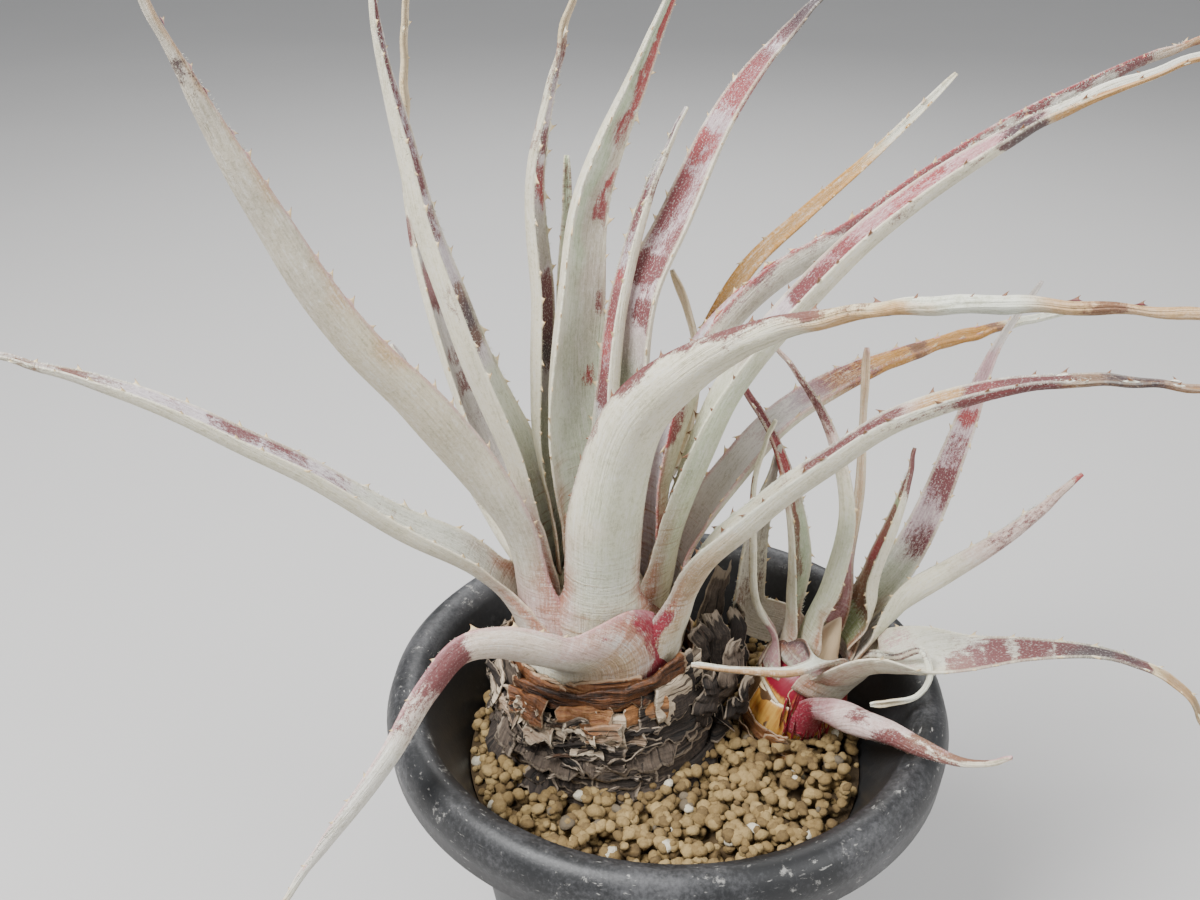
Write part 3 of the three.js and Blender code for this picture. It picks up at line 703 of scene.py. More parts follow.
MAIN_LEAVES = (
    Leaf("leaf_back_slim", "leaf_mottled", (58, 153), (
        (-16, 15, 186), (-15, 18, 204), (-10, 25, 230), (-4, 31, 247), (3, 36, 260),
    ), base=7, blade=6, twist=-40, speck=0.7, patches=(
        Wash(0, 0.3, GREEN, 0.5, INNER), Patch(0.3, 0.98, MAROON, 0.7, INNER, soft=0.03),
        Patch(0.44, 0.5, RED, 0.9, INNER), Patch(0.6, 0.66, RED, 0.9, INNER),
        Patch(0.8, 0.92, MAROON, 0.6, soft=0.04),
    )),
    Leaf("leaf_center", "leaf_silver", (105, 149), (
        (-22, 16, 172), (-24, 18, 193), (-23, 21, 216), (-20, 25, 240), (-9, 31, 268), (4, 38, 299),
    ), base=11, blade=11, taper=0.95, twist=25, channel=1, dry=(0.9, 2), spacing=8, inner=SAGE, speck=0.25,
    crease=(-0.42, 1.3), patches=(
        Wash(0, 1, WHITE, 0.6, INNER, high=-0.42), Wash(0.1, 0.5, GREY, 0.35, INNER, low=-0.3),
        Patch(0.42, 0.445, MAROON, 0.85, INNER, low=0.72), Patch(0.565, 0.59, MAROON, 0.9, INNER, low=0.65),
        Patch(0.615, 0.64, RED, 0.85, INNER, low=0.7), Patch(0.3, 0.312, RED, 0.8, low=0.25, high=0.5),
        Patch(0.68, 0.97, RED, 0.75, INNER, low=0.3, soft=0.06),
        Wash(0.45, 0.8, PINK, 0.4, INNER, low=0.2, soft=0.1), Patch(0.2, 0.22, MAROON, 0.6, INNER, low=0.8),
    )),
    Leaf("leaf_back_mottled", "leaf_mottled", (48, 146), (
        (-10, 17, 190), (-8, 20, 217), (1, 30, 234), (16, 49, 259), (39, 75, 278), (50, 89, 286),
    ), base=10, blade=7.2, channel=1, dry=(0.8, 2), speck=0.8, patches=(
        Wash(0, 0.33, GREEN, 0.6, INNER, soft=0.05), Wash(0.38, 0.41, LILAC, 0.6, INNER),
        Patch(0.41, 0.438, MAROON, 1, INNER), Patch(0.345, 0.382, MAROON, 0.95, INNER, low=-0.4),
        Patch(0.283, 0.3, MAROON, 0.85, INNER, low=0.2), Patch(0.45, 0.58, MAROON, 0.62, INNER, soft=0.04),
        Wash(0.3, 0.8, PINK, 0.35, INNER, soft=0.05), Patch(0.588, 0.618, RED, 1, INNER),
        Patch(0.63, 0.8, RED, 0.6, soft=0.04), Wash(0, 0.6, CREAM, 0.9, INNER, low=0.84),
        Patch(0.79, 1.01, MAROON, 0.8, soft=0.04), Patch(0.84, 1.01, DARK, 0.45, soft=0.03),
    )),
    Leaf("leaf_back_narrow", "leaf_mottled", (138, 143.5), (
        (-32, 22, 180), (-32, 25, 215), (-33, 27, 245), (-26, 25, 278), (-21, 21, 294),
    ), base=9, blade=6.6, twist=22, dry=(0.8, 1.5), speck=0.8, patches=(
        Wash(0, 0.31, GREEN, 0.6, INNER, soft=0.04), Patch(0.33, 0.53, MAROON, 0.85, INNER, soft=0.02),
        Patch(0.355, 0.38, DARK, 0.7, INNER), Wash(0.54, 0.61, GREY, 0.8, INNER),
        Patch(0.615, 0.695, RED, 0.9, INNER), Patch(0.71, 0.76, MAROON, 0.6),
        Patch(0.78, 0.9, MAROON, 0.7, soft=0.03), Wash(0.86, 1, STRAW, 0.8, soft=0.03),
    )),
    Leaf("leaf_back_short", "leaf_silver", (102, 141.5), (
        (-25, 26, 187), (-27, 31, 213), (-26, 35, 237), (-26, 37, 248),
    ), base=8, blade=3.4, spacing=8, inner=SAGE, patches=(
        Patch(0.8, 1, MAROON, 0.6, soft=0.05),
    )),
    Leaf("leaf_left_tall", "leaf_silver", (170, 139.5), (
        (-39, 13, 178), (-44, 14, 192), (-53, 15, 219), (-59, 17, 239), (-65, 18, 268), (-69, 19, 300),
    ), base=13, blade=11, twist=10, dry=(0.85, 1.8), spacing=10, speck=0.5, patches=(
        # The white and sage washes lift the inner face near the base: partly its pale colour, partly painted
        # light on a face that lies in shade.
        Wash(0, 0.37, WHITE, 0.7, INNER, soft=0.05), Wash(0, 0.37, SAGE, 0.4, INNER),
        Patch(0.41, 0.53, BROWN, 0.7, INNER, low=-0.2, soft=0.02), Patch(0.45, 0.47, DARK, 0.6, INNER),
        Patch(0.58, 0.63, MAROON, 0.7, INNER), Patch(0.65, 1.01, MAROON, 0.7, INNER, soft=0.03),
        Wash(0, 0.14, PINK, 0.5, OUTER, soft=0.05), Patch(0.5, 0.53, MAROON, 0.5, OUTER, high=-0.5),
    )),
    Leaf("leaf_left_banded", "leaf_mottled", (146, 137.5), (
        (-45, 25, 167), (-54, 30, 191), (-60, 34, 214), (-64, 37, 237), (-65, 37, 261), (-61, 35, 293),
    ), base=13, blade=8, dry=(0.7, 1.5), speck=0.5, patches=(
        Wash(0, 0.7, WHITE, 0.35, INNER), Patch(0.5, 0.56, PINK, 0.8, INNER),
        Patch(0.477, 0.5, MAROON, 0.6, INNER), Patch(0.4, 0.412, MAROON, 0.62, INNER),
        Patch(0.352, 0.362, MAROON, 0.62, INNER), Patch(0.303, 0.315, MAROON, 0.6, INNER),
        Patch(0.58, 0.64, MAROON, 0.7), Patch(0.68, 0.71, MAROON, 0.6), Wash(0.72, 1, STRAW, 0.8, soft=0.05),
    )),
    Leaf("leaf_right_upper", "leaf_silver", (22, 136), (
        (-2, 13, 174), (7, 15, 205), (22, 18, 223), (44, 23, 235), (72, 31, 252), (112, 40, 270),
        (144, 48, 279),
    ), base=14, blade=10, twist=-38, outer=GREY, rim=RED, patches=(
        Wash(0, 0.45, CREAM, 0.45, OUTER, soft=0.08), Patch(0.3, 0.5, MAROON, 0.5, INNER, soft=0.05),
        Patch(0.5, 0.58, MAROON, 0.8, INNER), Patch(0.35, 0.42, LILAC, 0.6), Patch(0.66, 0.7, MAROON, 0.6),
        Patch(0.82, 0.865, MAROON, 1, soft=0.02), Wash(0.88, 1, ORANGE, 0.8, soft=0.03),
        Patch(0.9, 1.01, BROWN, 0.75, soft=0.03), Patch(0.2, 0.86, MAROON, 0.75, OUTER, low=0.8),
        Patch(0.2, 0.86, MAROON, 0.75, OUTER, high=-0.8), Patch(0.0, 0.12, CRIMSON, 0.5, OUTER, soft=0.05),
    )),
    Leaf("leaf_right_middle", "leaf_green", (348, 134.5), (
        (2, 4, 162), (8, 3, 189), (17, 2, 208), (42, -1, 241), (73, -5, 267), (103, -9, 281),
        (114, -10, 285),
    ), base=15, blade=9.8, taper=0.75, twist=8, dry=(0.8, 1.8), inner=PINK, tooth=BROWN, speck=0.5, patches=(
        Wash(0.1, 0.4, SAGE, 0.8, soft=0.06), Wash(0.39, 0.47, LILAC, 0.8, INNER),
        Patch(0.46, 0.53, MAROON, 0.9, INNER), Patch(0.53, 0.57, MAROON, 0.75, INNER),
        Patch(0.57, 0.7, RED, 0.72, INNER, soft=0.02), Patch(0.745, 0.785, DARK, 0.85),
        Wash(0.79, 1, WHITE, 0.9, high=0.1), Wash(0.79, 1, ORANGE, 0.85, low=0.1),
        Patch(0.6, 0.74, MAROON, 0.45, OUTER, low=0.8), Patch(0.3, 0.38, MAROON, 0.4, INNER, low=0.6),
    )),
    Leaf("leaf_back_thread", "leaf_silver", (62, 133.5), (
        (4, 24, 175), (7, 25, 198), (4, 26, 212), (0, 27, 222),
    ), base=6, blade=1.6, spacing=0, inner=GREY, outer=GREY, patches=(
        Wash(0.4, 1, STRAW, 0.7),
    )),
    Leaf("leaf_left_hidden", "leaf_pink", (170, 132), (
        (-47, 18, 158), (-56, 21, 175), (-64, 24, 189), (-71, 27, 202),
    ), base=9, blade=3.4, spacing=8, patches=(
        Patch(0.4, 0.9, MAROON, 0.6, soft=0.05),
    )),
    Leaf("leaf_front", "leaf_silver", (272, 132), (
        (-17, -14, 161), (-16, -16, 178), (-10, -19, 203), (1, -24, 218), (14, -30, 229), (28, -36, 236),
        (54, -49, 244), (96, -69, 250),
    ), base=22, blade=11.5, taper=1, neck=0.1, dry=(0.52, 2.6), rim=MAROON, tooth=BROWN, speck=0.25,
    wave=0.15, crease=(-0.35, -1.1), patches=(
        Wash(0.09, 0.16, WHITE, 0.5, soft=0.03), Wash(0.0, 0.08, PINK, 0.6, OUTER, low=0.4, soft=0.03),
        Wash(0.12, 0.3, SAGE, 0.35, OUTER, high=0.3, soft=0.06),
        Patch(0.3, 0.62, MAROON, 0.8, OUTER, low=0.86, soft=0.04),
        Patch(0.52, 0.58, MAROON, 0.45, low=0.4, soft=0.03), Wash(0.58, 1, WHITE, 0.95),
        Wash(0.585, 0.72, ORANGE, 0.8, high=0.7, soft=0.015), Wash(0.585, 0.7, STRAW, 0.7, low=0.6),
        Wash(0.82, 1, ORANGE, 0.75, soft=0.02), Patch(0.86, 0.885, BROWN, 0.85),
        Patch(0.62, 0.66, BROWN, 0.3, low=0.5),
    )),
    Leaf("leaf_left_arching", "leaf_silver", (206, 130.5), (
        (-40, -3, 166), (-57, -15, 203), (-71, -23, 226), (-84, -30, 256), (-93, -36, 284), (-100, -40, 306),
    ), base=20, blade=9.5, twist=45, spacing=8, outer=GREY, rim=PINK, speck=0.35, patches=(
        Wash(0, 0.8, CREAM, 0.6, OUTER, soft=0.12), Wash(0.3, 1, STRAW, 0.3, OUTER, soft=0.1),
        Wash(0, 0.1, PINK, 0.6, OUTER, soft=0.03), Wash(0.6, 1, GREY, 0.45, OUTER, soft=0.05),
        Wash(0.45, 0.96, ORANGE, 0.45, OUTER, high=-0.86), Patch(0.876, 0.886, DARK, 0.45),
        Patch(0.91, 0.94, BROWN, 0.6, low=0.4), Patch(0.35, 0.8, MAROON, 0.32, INNER, soft=0.05),
    )),
    Leaf("leaf_back_dry", "leaf_dry", (70, 129.5), (
        (-4, 34, 160), (7, 36, 192), (20, 42, 216), (36, 52, 228), (56, 67, 240), (80, 85, 257),
    ), base=15, blade=3.4, inner=STRAW, outer=STRAW, rim=ORANGE, patches=(
        Wash(0.1, 0.8, ORANGE, 0.75, soft=0.05), Patch(0.3, 0.5, BROWN, 0.5, soft=0.04),
        Wash(0.82, 1, WHITE, 0.85, soft=0.03), Patch(0.72, 0.74, MAROON, 0.35),
    )),
    Leaf("leaf_right_back", "leaf_dry", (24, 128.5), (
        (12, 20, 159), (29, 27, 179), (50, 35, 190), (72, 44, 194), (98, 55, 196), (127, 67, 196),
    ), base=21, blade=7, dry=(0.55, 2.6), rim=PINK, patches=(
        Patch(0.3, 0.48, PINK, 0.6, INNER, soft=0.03), Patch(0.36, 0.42, LILAC, 0.7, INNER),
        Patch(0.46, 0.52, MAROON, 0.5, soft=0.03), Wash(0.5, 1, STRAW, 0.95, soft=0.04),
        Wash(0.43, 0.8, ORANGE, 0.9, soft=0.04), Wash(0.8, 1, WHITE, 0.9, soft=0.02),
        # The white wash on the inner face near the base is partly its pale powder, partly painted light on a
        # sheath that lies in shade.
        Wash(0, 0.42, WHITE, 0.45, INNER), Patch(0.612, 0.635, BROWN, 0.6), Patch(0.76, 0.78, BROWN, 0.6),
    )),
    Leaf("leaf_left_low", "leaf_silver", (190, 127), (
        (-50, 1, 152), (-67, -2, 166), (-96, -9, 190), (-126, -15, 210), (-158, -21, 223),
    ), base=23, blade=8.8, twist=10, speck=0.5, patches=(
        Wash(0, 0.4, SAGE, 0.5, INNER), Patch(0.05, 0.4, MAROON, 0.2, INNER, low=0.3, soft=0.04),
        Patch(0.4, 0.47, MAROON, 0.6, INNER), Patch(0.48, 0.56, MAROON, 0.75, INNER, soft=0.02),
        Patch(0.57, 0.65, MAROON, 0.75, INNER, soft=0.02), Patch(0.68, 0.73, MAROON, 0.5, INNER),
        Patch(0.78, 0.86, MAROON, 0.75, INNER, soft=0.02), Wash(0.78, 1, GREY, 0.6, soft=0.04),
        Patch(0.86, 1.01, BROWN, 0.4, soft=0.03), Wash(0, 0.14, PINK, 0.35, OUTER, soft=0.04),
    )),
    Leaf("leaf_right_low", "leaf_silver", (334, 125), (
        (9, -4, 157), (21, -8, 174), (35, -13, 190), (50, -19, 205), (77, -30, 219), (103, -41, 223),
        (112, -45, 222),
    ), base=26, blade=9, taper=0.8, twist=3, dry=(0.78, 1.8), inner=CREAM, rim=WHITE, tooth=BROWN, speck=0.5,
    patches=(
        Patch(0, 0.1, CRIMSON, 0.75, OUTER, low=0.6, soft=0.04),
        Wash(0.02, 0.26, ORANGE, 0.45, OUTER, low=0.2, soft=0.05),
        Wash(0.02, 0.2, BROWN, 0.3, OUTER, low=0.5), Patch(0.31, 0.335, BROWN, 0.6, INNER),
        Patch(0.35, 0.37, BROWN, 0.6, INNER), Wash(0.4, 0.6, PINK, 0.55, INNER),
        Patch(0.4, 0.49, MAROON, 0.95, INNER), Patch(0.49, 0.58, MAROON, 0.85, INNER, soft=0.02),
        Wash(0.59, 0.68, ORANGE, 0.8, INNER), Patch(0.675, 0.69, DARK, 0.9), Patch(0.695, 0.72, RED, 0.8),
        Wash(0.66, 1, BROWN, 0.9, soft=0.02), Wash(0.66, 0.8, ORANGE, 0.5, low=-0.1, high=0.6),
        Wash(0.88, 1, ORANGE, 0.5, low=-0.3, high=0.5), Patch(0.7, 0.8, MAROON, 0.75, soft=0.02),
        Patch(0.83, 0.9, DARK, 0.7, soft=0.02), Patch(0.55, 0.68, MAROON, 0.45, OUTER, low=0.7),
    )),
    Leaf("leaf_left_drooping", "leaf_pink", (264, 123), (
        (-30, -23, 141), (-42, -27, 148), (-51, -31, 149), (-58, -38, 143), (-66, -47, 132), (-81, -61, 116),
        (-94, -75, 103),
    ), base=31, blade=8, wrap=1.35, neck=0.2, inner=CREAM, rim=PINK, speck=0.15, patches=(
        Wash(0.1, 0.5, PINK, 0.3, soft=0.06), Patch(0.0, 0.1, CRIMSON, 0.75, OUTER, high=-0.8, soft=0.04),
        Wash(0.0, 0.2, PINK, 0.4, OUTER, high=-0.3),
        Wash(0, 0.1, ORANGE, 0.45, OUTER, low=-0.4, high=0.2, soft=0.02),
        Wash(0, 0.25, WHITE, 0.35, OUTER, low=0, soft=0.04),
        Patch(0.37, 0.57, MAROON, 0.52, high=0.4, soft=0.04),
        Patch(0.39, 0.45, MAROON, 0.75, high=-0.1, soft=0.02), Wash(0.38, 0.6, PINK, 0.35),
        Wash(0.55, 0.95, WHITE, 0.55, soft=0.06), Wash(0.6, 0.9, LILAC, 0.35, soft=0.05),
        Wash(0.93, 1, STRAW, 0.8),
    )),
)
PUP_LEAVES = (
    Leaf("pup_leaf_needle", "leaf_dry", (80, 43), (
        (49, 15, 144), (51, 19, 163), (51, 24, 181), (51, 29, 200),
    ), base=4, blade=1.8, spacing=0, inner=PINK, outer=PINK, patches=(
        Wash(0.35, 1, STRAW, 0.75, soft=0.04),
    )),
    Leaf("pup_leaf_short", "leaf_silver", (30, 41), (
        (55, 11, 143), (59, 13, 155), (62, 16, 165), (64, 19, 176),
    ), base=6, blade=6.5, twist=-40, spacing=6, inner=GREEN, speck=0.3, patches=(
        Patch(0.15, 0.7, BROWN, 0.7, INNER, soft=0.04), Patch(0.45, 0.55, RED, 0.7, INNER),
        Patch(0.75, 1, MAROON, 0.65, soft=0.05),
    )),
    Leaf("pup_leaf_curving", "leaf_green", (190, 38.5), (
        (43, 5, 144), (45, 5, 164), (42, 8, 180), (37, 12, 191), (24, 20, 207),
    ), base=7, blade=4.6, spacing=7, inner=BROWN, speck=0.2, patches=(
        Wash(0.05, 0.5, SAGE, 0.5, OUTER, soft=0.08), Wash(0.62, 1, PINK, 0.6, soft=0.06),
        Patch(0.7, 0.95, MAROON, 0.45, soft=0.05),
    )),
    Leaf("pup_leaf_banded", "leaf_mottled", (48, 36.5), (
        (63, 18, 138), (72, 25, 152), (79, 31, 171), (87, 37, 196), (99, 45, 212),
    ), base=9, blade=5.4, channel=1, dry=(0.75, 1.2), spacing=7, outer=LILAC, speck=0.75, patches=(
        Wash(0, 0.3, SAGE, 0.7, soft=0.05), Patch(0.29, 0.37, MAROON, 0.5, soft=0.03),
        Wash(0.3, 0.62, PINK, 0.4, soft=0.05), Patch(0.43, 0.5, MAROON, 0.8, soft=0.03),
        Patch(0.52, 0.6, MAROON, 0.45, soft=0.03), Patch(0.635, 0.66, RED, 0.6),
        Wash(0.62, 0.82, PINK, 0.75), Wash(0.82, 1, GREY, 0.7, soft=0.04),
    )),
    Leaf("pup_leaf_right", "leaf_silver", (5, 34.5), (
        (64, 10, 134), (76, 13, 141), (91, 16, 151), (110, 21, 167),
    ), base=9, blade=5.6, twist=-80, spacing=8, speck=0.5, patches=(
        Wash(0.02, 0.3, SAGE, 0.35, soft=0.05), Wash(0.55, 0.96, PINK, 0.55, soft=0.08),
        Patch(0.6, 0.95, MAROON, 0.42, soft=0.04), Patch(0.95, 1.01, RED, 1),
    )),
    Leaf("pup_leaf_dark", "leaf_mottled", (165, 32), (
        (35, 11, 142), (33, 12, 162), (27, 14, 180), (17, 18, 197),
    ), base=9, blade=7, taper=1.2, twist=-20, spacing=7, inner=SAGE, speck=0.5, patches=(
        Wash(0.55, 1, RED, 0.9, soft=0.05), Wash(0.6, 1, CRIMSON, 0.5, soft=0.05),
        Patch(0.1, 0.62, BROWN, 0.65, INNER, low=-0.5, high=0.6, soft=0.03),
        Patch(0.6, 1.01, RED, 0.9, soft=0.04), Patch(0.8, 1.01, MAROON, 0.6),
    )),
    Leaf("pup_leaf_hook", "leaf_dry", (345, 33), (
        (60, -6, 128), (65, -9, 132), (67, -13, 127), (64, -14, 121), (52, -15, 119),
    ), base=4, blade=1.1, spacing=0, inner=WHITE, outer=WHITE, patches=(
        Patch(0.1, 0.6, MAROON, 0.5, soft=0.03), Patch(0.3, 0.45, DARK, 0.6, soft=0.03),
        Wash(0.85, 1, STRAW, 0.7),
    )),
    Leaf("pup_leaf_low_right", "leaf_pink", (318, 29), (
        (54, -4, 124), (66, -5, 127), (78, -7, 129), (92, -9, 132), (109, -14, 135), (122, -19, 133),
        (131, -22, 126), (137, -25, 115),
    ), base=17, blade=9.5, taper=2, twist=60, wrap=1.2, channel=1, neck=0.4, dry=(0.7, 1.6), inner=GREY,
    speck=0.5, patches=(
        Wash(0, 0.28, CREAM, 0.5, soft=0.04), Wash(0.2, 0.42, WHITE, 0.5), Patch(0.345, 0.357, BROWN, 0.5),
        Patch(0.38, 0.4, MAROON, 0.6), Patch(0.425, 0.46, MAROON, 0.9), Patch(0.478, 0.55, MAROON, 0.95),
        Wash(0, 0.56, CREAM, 0.95, low=0.78), Patch(0.56, 0.76, MAROON, 1, soft=0.01),
        Patch(0.6, 0.72, DARK, 0.6), Wash(0.75, 1, STRAW, 0.9), Wash(0.8, 1, BROWN, 0.55),
        Wash(0.8, 0.9, ORANGE, 0.35), Patch(0.1, 0.28, PINK, 0.3, soft=0.03),
    )),
    Leaf("pup_leaf_strip", "leaf_dry", (182, 27), (
        (24, 8, 136), (22, 7, 155), (22, 8, 175), (26, 10, 189),
    ), base=7, blade=1.8, spacing=0, inner=CREAM, patches=(
        Patch(0, 0.2, PINK, 0.7, soft=0.05), Patch(0.35, 0.8, BROWN, 0.6, low=-0.4, high=0.4, soft=0.03),
    )),
    Leaf("pup_leaf_broad", "leaf_silver", (120, 23), (
        (24, 19, 124), (23, 17, 138), (25, 15, 160), (28, 13, 180),
    ), base=12, blade=6.5, channel=0.7, spacing=8, inner=GREY, outer=GREY, speck=0.5, patches=(
        Wash(0, 0.6, CREAM, 0.4), Patch(0.3, 0.75, BROWN, 0.38, soft=0.06), Patch(0.5, 0.56, DARK, 0.4),
    )),
    Leaf("pup_leaf_curled", "leaf_pink", (248, 33), (
        (38, -8, 127), (30, -14, 129), (18, -17, 132), (5, -20, 136),
    ), base=14, blade=2, wrap=1.1, neck=0.32, spacing=0, inner=WHITE, outer=GREY, rim=BROWN, speck=0.2,
    patches=(
        Wash(0, 0.3, CREAM, 0.5, OUTER), Patch(0, 0.35, PINK, 0.45, OUTER, soft=0.05),
        Patch(0.0, 0.3, DARK, 0.8, OUTER, low=0.82), Wash(0.4, 1, WHITE, 0.8, low=-0.2),
        Wash(0.4, 1, ORANGE, 0.75, high=-0.4),
    )),
    Leaf("pup_leaf_low_front", "leaf_mottled", (276, 17), (
        (44, -10, 111), (54, -25, 119), (60, -34, 122), (69, -43, 125), (76, -51, 134),
    ), base=11, blade=6, taper=0.9, twist=-100, wrap=1.4, channel=1.5, dry=(0.75, 1.2), spacing=11,
    teeth=(0.35, 0.7), inner=PINK, outer=PINK, rim=PINK, tooth=BROWN, speck=0.25, patches=(
        Patch(0, 0.14, CRIMSON, 0.9, soft=0.03), Wash(0.25, 0.6, WHITE, 0.35, soft=0.05),
        Patch(0.34, 0.41, MAROON, 0.6, low=-0.1, soft=0.03),
        Patch(0.46, 0.8, MAROON, 0.75, high=-0.1, soft=0.03),
        Patch(0.58, 0.92, BROWN, 0.9, low=0.1, soft=0.02), Wash(0.56, 1, CREAM, 0.9, high=0.1),
    )),
)


class LeafPiece:
    """The finer piece of one leaf, with ribs, waves, stains and hooked teeth.

    Lengths are in millimetres, and a scale is the size of the features of its noise.
    """

    STATIONS = 120
    COLUMNS = 17
    EDGE_HALF = 0.24
    EDGE_ROUND = 0.22
    RIBS = 6
    RIB_DEPTH = 0.1
    SWAY_SCALE = 26
    FRAY_SCALE = 8
    FOLD_WIDTH = 0.3
    HEM_SCALE = 5
    HEM_DEPTH = 0.3
    HEM_COLOR = (0.42, 0.14, 0.07)
    STAIN_EDGE = 2.6
    SCALES_PER_MM = 5.5
    SCALE_HALF = 0.09
    SCALE_FACES = ((0, 2, 1), (0, 1, 3), (1, 2, 3), (2, 0, 3))
    TOOTH_RINGS = 7
    TOOTH_SIDES = 6

    def __init__(self, leaf: Leaf, stem: Stem, kind: LeafKind) -> None:
        """Prepares the form and the leaf's own random numbers.

        Args:
            leaf: The leaf.
            stem: Its stem.
            kind: Its rosette's sizes.
        """
        self.leaf = leaf
        self.kind = kind
        self.shape = LeafShape(leaf, stem, kind, self.STATIONS)
        self.seed = sum(ord(letter) * (i + 3) for i, letter in enumerate(leaf.name)) % 997
        self.random = random.Random(self.seed)

    def field(self, along: Array, across: Array, scale: float, seed: float) -> Array:
        """Smooth noise over the leaf's face.

        Args:
            along: Places along the leaf in millimetres.
            across: Places across it in millimetres.
            scale: Size of the noise's features.
            seed: Picks one of this leaf's own patterns.

        Returns:
            A value of about -1 to 1 for each place.
        """
        spots = zip(np.ravel(along), np.ravel(across))
        values = [noise.noise(Vector((a / scale, c / scale, seed + self.seed))) for a, c in spots]
        return np.array(values).reshape(np.shape(along)) * 2

    def build(self, material: bpy.types.Material) -> bpy.types.Object:
        """Makes the piece for its solid.

        Args:
            material: The leaves' finish.

        Returns:
            The piece.
        """
        body = Body()
        self._blade(body)
        if self.leaf.spacing:
            self._margins(body)
            self._scurf(body)
        return body.build(f"fine_{self.leaf.name}", material, self.leaf.slot, self.leaf.name)

    def _blade(self, body: Body) -> None:
        """Adds the closed blade.

        Args:
            body: The mesh that takes it.
        """
        shape, count = self.shape, self.COLUMNS
        inner = np.sin(np.linspace(-1, 1, count) * math.pi / 2)
        column = np.concatenate([inner, [1.0], inner[::-1], [-1.0]])
        face = np.concatenate([np.ones(count), [0.0], -np.ones(count), [0.0]])
        station = np.repeat(np.arange(self.STATIONS)[:, None], len(column), axis=1)
        column = np.broadcast_to(column, station.shape)
        face = np.broadcast_to(face, station.shape)
        share = shape.share[station]
        outward = np.abs(column) ** 3
        half = shape.middle[station] * (1 - outward) + self.EDGE_HALF * outward
        width = shape.half_width[station]
        along = share * shape.curve.length
        across = column * width
        edge = column * (1 + np.where(face == 0, self.EDGE_ROUND / width, 0))
        dried = shape.dried[station]
        ribs = np.cos(column * math.pi * self.RIBS) * self.RIB_DEPTH
        ribs = ribs * np.minimum(width / 8, 1) * (1 + 1.6 * dried)
        half = half + ribs * (face < 0) * smooth(0.0, 0.15, share) * np.abs(face)
        points = shape.point(station.astype(float), edge, half * face)
        fade = smooth(0.1, 0.3, share) * smooth(1.0, 0.93, share)
        sway = self.field(along, across * 0.6, self.SWAY_SCALE, 1.7) * self.leaf.wave
        fray = self.field(along, across * 1.6, self.FRAY_SCALE, 5.1) * self.leaf.crumple * dried
        place, depth = self.leaf.crease
        fold = -depth * bell(column, place, self.FOLD_WIDTH) * smooth(1.0, 0.7, share)
        hem = self.field(along, across * 0.2, self.HEM_SCALE, 8.8) * self.HEM_DEPTH
        hem = hem * np.abs(column) ** 6 * smooth(0.3, 0.05, share)
        points = points + shape.upward[station] * ((sway + fray + fold) * fade + hem)[..., None]
        stored = self._stains(along, across, share, column, face, dried)
        body.add(points, loft_faces(*station.shape, first=True, last=True), **stored)

    def _cover(self, patch: Patch, share: Array, column: Array, face: Array) -> tuple[Array, Array]:
        """How a patch lies on points of the leaf.

        Args:
            patch: The patch.
            share: Each point's share of the length.
            column: Its place across, from -1 to 1.
            face: Its face, 1 for the inner and -1 for the outer.

        Returns:
            How much of the patch lies at each point, and how near the point is to it.
        """
        soft = patch.soft * 2.2 + 1.5 / self.shape.curve.length
        inset = min(soft * 0.5, (patch.end - patch.start) * 0.3)
        off_end = np.maximum(np.maximum(patch.start - share, share - patch.end) + inset, 0) / soft
        off_side = np.maximum(np.maximum(patch.low - column, column - patch.high) + 0.12, 0) / 0.4
        wrong = 0.0 if patch.face is BOTH else (1 - face * patch.face.value) / 2
        near = np.exp(-(off_end + off_side + 4 * wrong))
        amount = smooth(1.0, 0.0, off_end) * smooth(1.0, 0.0, off_side) * (1 - wrong)
        return amount, near

    def _stains(
        self, along: Array, across: Array, share: Array, column: Array, face: Array, dried: Array
    ) -> dict[str, Array]:
        """The stored colours and weights of points on the leaf.

        Args:
            along: Each point's distance along the leaf.
            across: Its distance from the middle line.
            share: Its share of the length.
            column: Its place across, from -1 to 1.
            face: Its face, 1 for the inner and -1 for the outer.
            dried: How dry the leaf is there.

        Returns:
            The arrays by attribute name.
        """
        leaf = self.leaf
        rough = self.field(along, across, 7, 9.3) * 0.6 + self.field(along, across, 3, 3.3) * 0.5
        aside = self.field(along, across * 0.7, 8, 2.6) * 0.3
        cloud = self.field(along, across * 1.5, 14, 7.7)
        loose = share + rough * self.STAIN_EDGE / self.shape.curve.length
        outer = ((1 - face) / 2)[..., None]
        under = mix(np.array(leaf.inner.value), np.array(leaf.outer.value), outer)
        stain = np.broadcast_to(np.array(MAROON.value), under.shape)
        amount = np.zeros_like(share)
        for patch in leaf.patches:
            cover, near = self._cover(patch, loose, column + aside, face)
            color = np.array(patch.tint.value)
            if isinstance(patch, Wash):
                under = mix(under, color, (cover * patch.strength)[..., None])
                continue
            stain = mix(stain, color, near[..., None])
            amount = np.maximum(amount, cover * patch.strength)
        amount = np.clip(amount * (1.05 + 0.45 * cloud), 0, 1)
        under = under * (1 + 0.07 * cloud)[..., None]
        hem = smooth(0.24, 0.05, share) * smooth(0.5, 0.9, np.abs(column) + 0.2 * rough)
        under = mix(under, np.array(self.HEM_COLOR), (hem * 0.9)[..., None])
        return {
            "flow": triple(along, across, self.seed),
            "under": under,
            "stain": stain,
            "zone": triple(amount, leaf.speck, np.abs(column)),
            "more": triple(0.0, dried, smooth(0.26, 0.08, share)),
            "rim": np.array(leaf.rim.value),
        }

